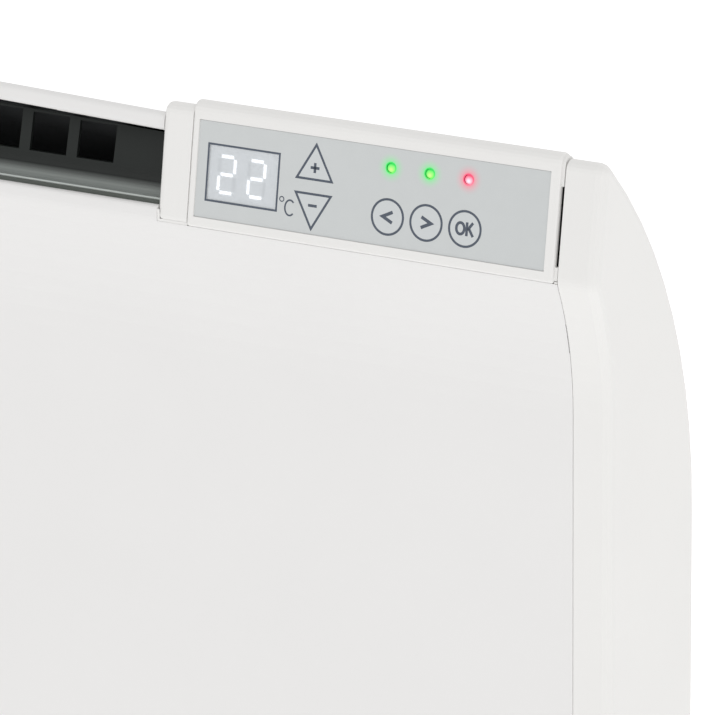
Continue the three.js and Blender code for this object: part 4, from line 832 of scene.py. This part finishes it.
@dataclass
class ControlModule:
    """Plug-in thermostat: housing, bezel, foil, display and indicator diodes."""

    line: float = 0.6
    window: tuple[float, ...] = (-55.7, -31.2, -9.2, 7.9)
    degree_ring: Triple = (-29.5, -5.4, 0.72)
    degree_line: float = 0.32
    degree_letter: Triple = (-26.6, -7.7, 2.3)
    letter_narrowing: float = 0.72
    letter_line: float = 0.52
    digit_height: float = 10.9
    digit_width: float = 5.4
    digit_pitch: float = 10.35
    digit_shift: Point = (-0.65, -0.23)
    segment_width: float = 1.0
    segment_gap: float = 0.62
    segment_depth: float = 0.56
    segment_rise: float = 0.04
    field_margin: float = 0.35
    field_depths: Point = (0.575, 0.66)
    foil_half: Point = (59.475, 14.825)
    bead_width: float = 0.3
    bead_depths: Point = (0.0, 0.3)
    collar_radius: float = 1.62
    collar_width: float = 0.36
    collar_depths: Point = (-0.03, 0.1)

    def build(self) -> None:
        """Dresses the module and adds its prints and lit digits."""
        dress(["control_housing", "module_bezel"], MOULDED_ABS)
        dress(["overlay_foil"], SILVER_FOIL)
        dress(["display_window"], DISPLAY_WINDOW)
        dress(["display_block"], DISPLAY_FACE_PAINTED_GLOW)
        dress(["module_shell"], BLACK_POLYAMIDE)
        dress(["module_plug"], GREY_POLYAMIDE)
        dress(["control_board"], SOLDER_MASK)
        for i, lens in enumerate(LENSES):
            dress([f"led_{i + 1}"], lens)
            self.collar(i, lens)
        self.foil_bead()
        self.frame_line()
        self.degree_mark()
        self.digits()
        self.field()

    def collar(self, number: int, lens: DiodeLens) -> bpy.types.Object:
        """Adds the clear collar that seals the gap between a diode and the foil.

        Args:
            number: Which diode, from 0 at the left.
            lens: Finish of the diode.

        Returns:
            The collar.
        """
        mesh = bmesh.new()
        circle = arc(*DIODES[number], self.collar_radius, steps=32)
        Ribbon(circle, self.collar_width, True).add(mesh, *self.collar_depths)
        mesh.transform(face_matrix())
        return make_piece(f"diode_collar_{number + 1}", mesh, lens, HEATER_BODY)

    def foil_bead(self) -> bpy.types.Object:
        """Adds the bead of adhesive that fills the gap round the foil."""
        across, up = self.foil_half
        corners = [(-across, -up), (across, -up), (across, up), (-across, up)]
        mesh = bmesh.new()
        Ribbon(corners, self.bead_width, True).add(mesh, *self.bead_depths)
        mesh.transform(face_matrix())
        return make_piece("foil_bead", mesh, MOULDED_ABS, HEATER_BODY)

    def frame_line(self) -> bpy.types.Object:
        """Prints the line round the display."""
        left, right, low, high = self.window
        corners = [(left, low), (right, low), (right, high), (left, high)]
        return print_legend("display_line", [Ribbon(corners, self.line, True)], HEATER_BODY)

    def degree_mark(self) -> bpy.types.Object:
        """Prints the degree ring and the letter after the digits."""
        ring = Ribbon(arc(*self.degree_ring, steps=20), self.degree_line, True)
        x, z, radius = self.degree_letter
        curve = [(x + (u - x) * self.letter_narrowing, v) for u, v in arc(x, z, radius, 45, 315, 24)]
        return print_legend("degree_mark", [ring, Ribbon(curve, self.letter_line)], HEATER_BODY)

    def digits(self) -> None:
        """Adds the lit bars of the digits 22 in front of the display block, and its unlit bars, which carry
        a painted glow.
        """
        left, right, low, high = self.window
        middle_x = (left + right) / 2 + self.digit_shift[0]
        middle_z = (low + high) / 2 + self.digit_shift[1]
        r, half = self.digit_width / 2, self.digit_height / 2
        level = [((-r, z), (r, z)) for z in (half, 0, -half)]
        upper_left, upper_right = [((x, half), (x, 0)) for x in (-r, r)]
        lower_left, lower_right = [((x, 0), (x, -half)) for x in (-r, r)]
        lit_bars = [level[0], upper_right, level[1], lower_left, level[2]]
        groups = (
            ("lit_digits", lit_bars, LIT_SEGMENT),
            ("unlit_bars", [upper_left, lower_right], UNLIT_SEGMENT_PAINTED_GLOW),
        )
        front, back = self.segment_depth - self.segment_rise, self.segment_depth
        for name, bars, finish in groups:
            mesh = bmesh.new()
            for side in (-1, 1):
                x = middle_x + side * self.digit_pitch / 2
                for start, end in bars:
                    run = (Vector(end) - Vector(start)).normalized() * self.segment_gap
                    ends = [(x + u, middle_z + v) for u, v in (Vector(start) + run, Vector(end) - run)]
                    Ribbon(ends, self.segment_width).add(mesh, front, back)
            mesh.transform(face_matrix())
            make_piece(name, mesh, finish, HEATER_BODY)

    def field(self) -> bpy.types.Object:
        """Adds the pale diffuser sheet that fills the window behind the digits, with a painted glow that
        keeps it evenly bright.
        """
        left, right, low, high = self.window
        middle = (low + high) / 2
        run = [(left + self.field_margin, middle), (right - self.field_margin, middle)]
        mesh = bmesh.new()
        Ribbon(run, high - low - 2 * self.field_margin).add(mesh, *self.field_depths)
        mesh.transform(face_matrix())
        return make_piece("display_diffuser", mesh, DISPLAY_FACE_PAINTED_GLOW, HEATER_BODY)


class Legend(Enum):
    """Sign printed on a key."""

    PLUS = "plus"
    MINUS = "minus"
    BACK = "back"
    NEXT = "next"
    OK = "ok"


# Strokes of the two letters on the confirming key, from its middle, in millimetres.
LETTER_O = tuple((-1.5 + x * 0.78, z) for x, z in arc(0, 0, 1.7, steps=28))
LETTER_K = (((0.65, -2.05), (0.65, 2.05)), ((0.9, -0.2), (2.6, 2.05)), ((1.3, 0.3), (2.8, -2.05)))


@dataclass
class Keypad:
    """Five foil-faced keys with their printed rings, triangles and signs."""

    ring_radius: float = 5.23
    line: float = 0.7
    pitch: float = 12.98
    first: float = 6.55
    row: float = -5.9
    triangle_side: float = 12.0
    triangle_x: float = -18.95
    triangle_row: float = -0.4
    triangle_split: float = 4.4
    sign_arm: float = 1.5
    sign_line: float = 0.84
    arrow: Point = (1.65, 1.6)
    arrow_line: float = 1.0
    signs: dict[str, Legend] = field(default_factory=lambda: {f"key_{sign.value}": sign for sign in Legend})

    def build(self) -> None:
        """Dresses the keys and prints their signs."""
        dress(self.signs, KEY_FOIL)
        for node, sign in self.signs.items():
            print_legend(f"{node}_sign", self.sign(sign), node)
            print_legend(f"{node}_outline", [self.outline(sign, -self.line / 4)], node)
        halves = [self.outline(sign, self.line / 4) for sign in self.signs.values()]
        print_legend("key_outlines", halves, HEATER_BODY)

    def centre(self, sign: Legend) -> Point:
        """Returns the middle of a key on the face."""
        inradius = self.triangle_side / (2 * math.sqrt(3))
        offset = self.triangle_split / 2 + inradius
        places = {
            Legend.PLUS: (self.triangle_x, self.triangle_row + offset),
            Legend.MINUS: (self.triangle_x, self.triangle_row - offset),
            Legend.BACK: (self.first, self.row),
            Legend.NEXT: (self.first + self.pitch, self.row),
            Legend.OK: (self.first + 2 * self.pitch, self.row),
        }
        return places[sign]

    def outline(self, sign: Legend, offset: float) -> Ribbon:
        """Returns one half of a key's printed ring or triangle.

        Args:
            sign: The key's sign.
            offset: How far the middle of the half lies outside the seam, in millimetres.

        Returns:
            The line.
        """
        x, z = self.centre(sign)
        if sign in (Legend.PLUS, Legend.MINUS):
            up = 1 if sign is Legend.PLUS else -1
            reach = 2 * (self.triangle_side / (2 * math.sqrt(3)) + offset)
            corners = arc(0, 0, reach, 90, 450, 3)
            return Ribbon([(x + u, z + up * v) for u, v in corners], self.line / 2, True)
        return Ribbon(arc(x, z, self.ring_radius + offset), self.line / 2, True)

    def sign(self, sign: Legend) -> list[Ribbon]:
        """Returns the strokes of a key's sign."""
        x, z = self.centre(sign)
        arm, width = self.sign_arm, self.sign_line
        bar, post = [(x - arm, z), (x + arm, z)], [(x, z - arm), (x, z + arm)]
        if sign is Legend.PLUS:
            return [Ribbon(bar, width), Ribbon(post, width)]
        if sign is Legend.MINUS:
            return [Ribbon(bar, width)]
        if sign is Legend.OK:
            ring = Ribbon([(x + u, z + v) for u, v in LETTER_O], width, True)
            return [ring] + [Ribbon([(x + u, z + v) for u, v in stroke], width) for stroke in LETTER_K]
        way = -1 if sign is Legend.BACK else 1
        tip, rise = self.arrow[0] * way, self.arrow[1]
        return [Ribbon([(x - tip, z + rise), (x + tip, z), (x - tip, z - rise)], self.arrow_line)]


@dataclass(frozen=True)
class PlainAssembly:
    """Sub-assembly whose pieces need a finish each and nothing more."""

    finishes: tuple[tuple[Finish, tuple[str, ...]], ...]

    def build(self) -> None:
        """Dresses the pieces."""
        for finish, nodes in self.finishes:
            dress(nodes, finish)


# Finned element with its bushes, brackets, shield and cut-out.
HEATING_CHAMBER = PlainAssembly((
    (EXTRUDED_ALUMINIUM, ("heating_element",)),
    (STEATITE, ("element_terminal_left", "element_terminal_right")),
    (GALVANISED, ("element_bracket_left", "element_bracket_right", "heat_shield")),
    (BLACK_POLYAMIDE, ("thermal_cutout",)),
))
# Power board, terminals, gland, sensor and wires at the right end.
ELECTRICS = PlainAssembly((
    (SOLDER_MASK, ("power_board",)),
    (GREY_POLYAMIDE, ("board_carrier",)),
    (BLACK_POLYAMIDE, ("relay", "transformer", "cable_gland", "gland_nut", "room_sensor")),
    (MOULDED_ABS, ("terminal_block",)),
    (BRASS, ("earth_screw",)),
    (RED_PVC, ("wire_live", "wire_switched")),
    (BLUE_PVC, ("wire_neutral",)),
    (WHITE_SILICONE, ("wire_element", "module_cable")),
))
# Sheet-steel bracket with two sprung latches behind the heater.
WALL_BRACKET = PlainAssembly((
    (GALVANISED, ("wall_bracket",)),
    (ZINC_PLATE, ("bracket_latch_left", "bracket_latch_right")),
    (SPRING_WIRE, ("latch_spring_left", "latch_spring_right")),
))


@dataclass
class MainsSwitch:
    """Rocker switch in the right end cap."""

    pivot: Triple = (361.3, -49.0, 62.0 - RAIL_HEIGHT)
    tilt: float = math.radians(-9)
    sign_size: float = 1.5
    ring_radius: float = 1.45
    dip: float = 1.6
    crest: Point = (3.04, 8.89)
    stroke: float = 0.7

    def build(self) -> None:
        """Dresses the switch and prints its two signs."""
        dress(["switch_frame", "switch_rocker"], BLACK_POLYAMIDE)
        bar = Ribbon([(-self.sign_size, 0), (self.sign_size, 0)], self.stroke)
        ring = Ribbon(arc(0, 0, self.ring_radius, steps=28), self.stroke, True)
        for name, ribbon, side in (("rocker_on", bar, 1), ("rocker_off", ring, -1)):
            mesh = bmesh.new()
            ribbon.add(mesh, *INK_DEPTHS)
            mesh.transform(self.flank(side))
            make_piece(name, mesh, WHITE_INK, "rocker")

    def flank(self, side: int) -> Matrix:
        """Returns the matrix from a sign's own axes to one flank of the rocker.

        Args:
            side: 1 for the upper flank and -1 for the lower one.

        Returns:
            The matrix.
        """
        low, high = Vector((self.dip, 0, 0)), Vector((self.crest[0], 0, side * self.crest[1]))
        along = (high - low).normalized()
        across = Vector((0, 1, 0))
        inward = -across.cross(along) * side
        axes = Matrix((across, inward, along)).transposed().to_4x4()
        place = Matrix.Translation(low.lerp(high, 0.5) * MM) @ axes
        return Matrix.Translation(Vector(self.pivot) * MM) @ Matrix.Rotation(self.tilt, 4, "Y") @ place


@dataclass
class Studio:
    """Camera at the photograph's angle, soft lights and a pale floor."""

    azimuth: float = math.radians(29.95)
    elevation: float = math.radians(18.18)
    roll: float = math.radians(-0.617)
    distance: float = 1751.7
    lens: float = 299.7
    sensor: float = 36.0
    shift_right: float = 3.53
    shift_up: float = 48.06
    floor_size: float = 12.0
    floor_drop: float = 0.55
    surround: float = 0.74
    clip: Point = (0.05, 60.0)
    softbox_side: float = 2.4

    def build(self) -> None:
        """Sets the whole studio up."""
        self.camera()
        self.world()
        self.floor()
        self.softbox("key_softbox", (-1.6, -2.4, 2.2), 12.0)
        self.softbox("fill_softbox", (2.6, -1.8, 1.4), 16.0)
        self.softbox("back_softbox", (0.4, 2.4, 2.2), 20.0)
        settings = bpy.context.scene.view_settings
        settings.view_transform = "Standard"
        settings.look = "None"
        settings.exposure = 0.0

    def camera(self) -> bpy.types.Object:
        """Adds the camera, aimed so that the control face lies where the photograph has it."""
        a, e = self.azimuth, self.elevation
        ahead = Vector((-math.sin(a) * math.cos(e), math.cos(a) * math.cos(e), -math.sin(e)))
        level = Vector((math.cos(a), math.sin(a), 0))
        upward = level.cross(ahead)
        right = level * math.cos(self.roll) + upward * math.sin(self.roll)
        up = upward * math.cos(self.roll) - level * math.sin(self.roll)
        aim = Vector(FACE_CENTRE) - ahead * self.distance - right * self.shift_right - up * self.shift_up
        data = bpy.data.cameras.new("camera")
        data.lens = self.lens
        data.sensor_width = self.sensor
        data.clip_start, data.clip_end = self.clip
        camera = bpy.data.objects.new("camera", data)
        axes = Matrix((right, up, -ahead)).transposed().to_4x4()
        camera.matrix_world = Matrix.Translation(aim * MM) @ axes
        bpy.context.scene.collection.objects.link(camera)
        bpy.context.scene.camera = camera
        return camera

    def world(self) -> bpy.types.World:
        """Adds a plain white surround."""
        world = bpy.data.worlds.new("studio_white")
        world.use_nodes = True
        background = world.node_tree.nodes["Background"]
        background.inputs["Color"].default_value = linear("#ffffff")
        background.inputs["Strength"].default_value = self.surround
        bpy.context.scene.world = world
        return world

    def floor(self) -> bpy.types.Object:
        """Adds the floor below the heater."""
        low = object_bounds()[0].z - self.floor_drop
        mesh = bmesh.new()
        bmesh.ops.create_grid(mesh, x_segments=8, y_segments=8, size=self.floor_size)
        mesh.transform(Matrix.Translation((0, 0, low)))
        data = bpy.data.meshes.new("studio_floor")
        mesh.to_mesh(data)
        mesh.free()
        data.materials.append(STUDIO_FLOOR.material())
        floor = bpy.data.objects.new("studio_floor", data)
        bpy.context.scene.collection.objects.link(floor)
        floor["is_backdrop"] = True
        return floor

    def softbox(self, name: str, place: Triple, power: float) -> bpy.types.Object:
        """Adds one large square lamp that looks at the heater.

        Args:
            name: Name of the lamp.
            place: Its middle, in metres.
            power: Its power in watts.

        Returns:
            The lamp.
        """
        data = bpy.data.lights.new(name, "AREA")
        data.shape = "SQUARE"
        data.size = self.softbox_side
        data.energy = power
        lamp = bpy.data.objects.new(name, data)
        lamp.location = place
        lamp.rotation_euler = (-Vector(place)).to_track_quat("-Z", "Y").to_euler()
        bpy.context.scene.collection.objects.link(lamp)
        return lamp


def main() -> None:
    """Builds the studio and dresses each sub-assembly in order."""
    logging.basicConfig(level=logging.INFO, format="%(name)s: %(message)s")
    dressed = (Casing(), ControlModule(), Keypad(), HEATING_CHAMBER, ELECTRICS, MainsSwitch(), WALL_BRACKET)
    parts = (Studio(), *dressed)
    for number, part in enumerate(parts, 1):
        part.build()
        log.info("built %s, %d of %d", type(part).__name__, number, len(parts))


if __name__ == "__main__":
    main()
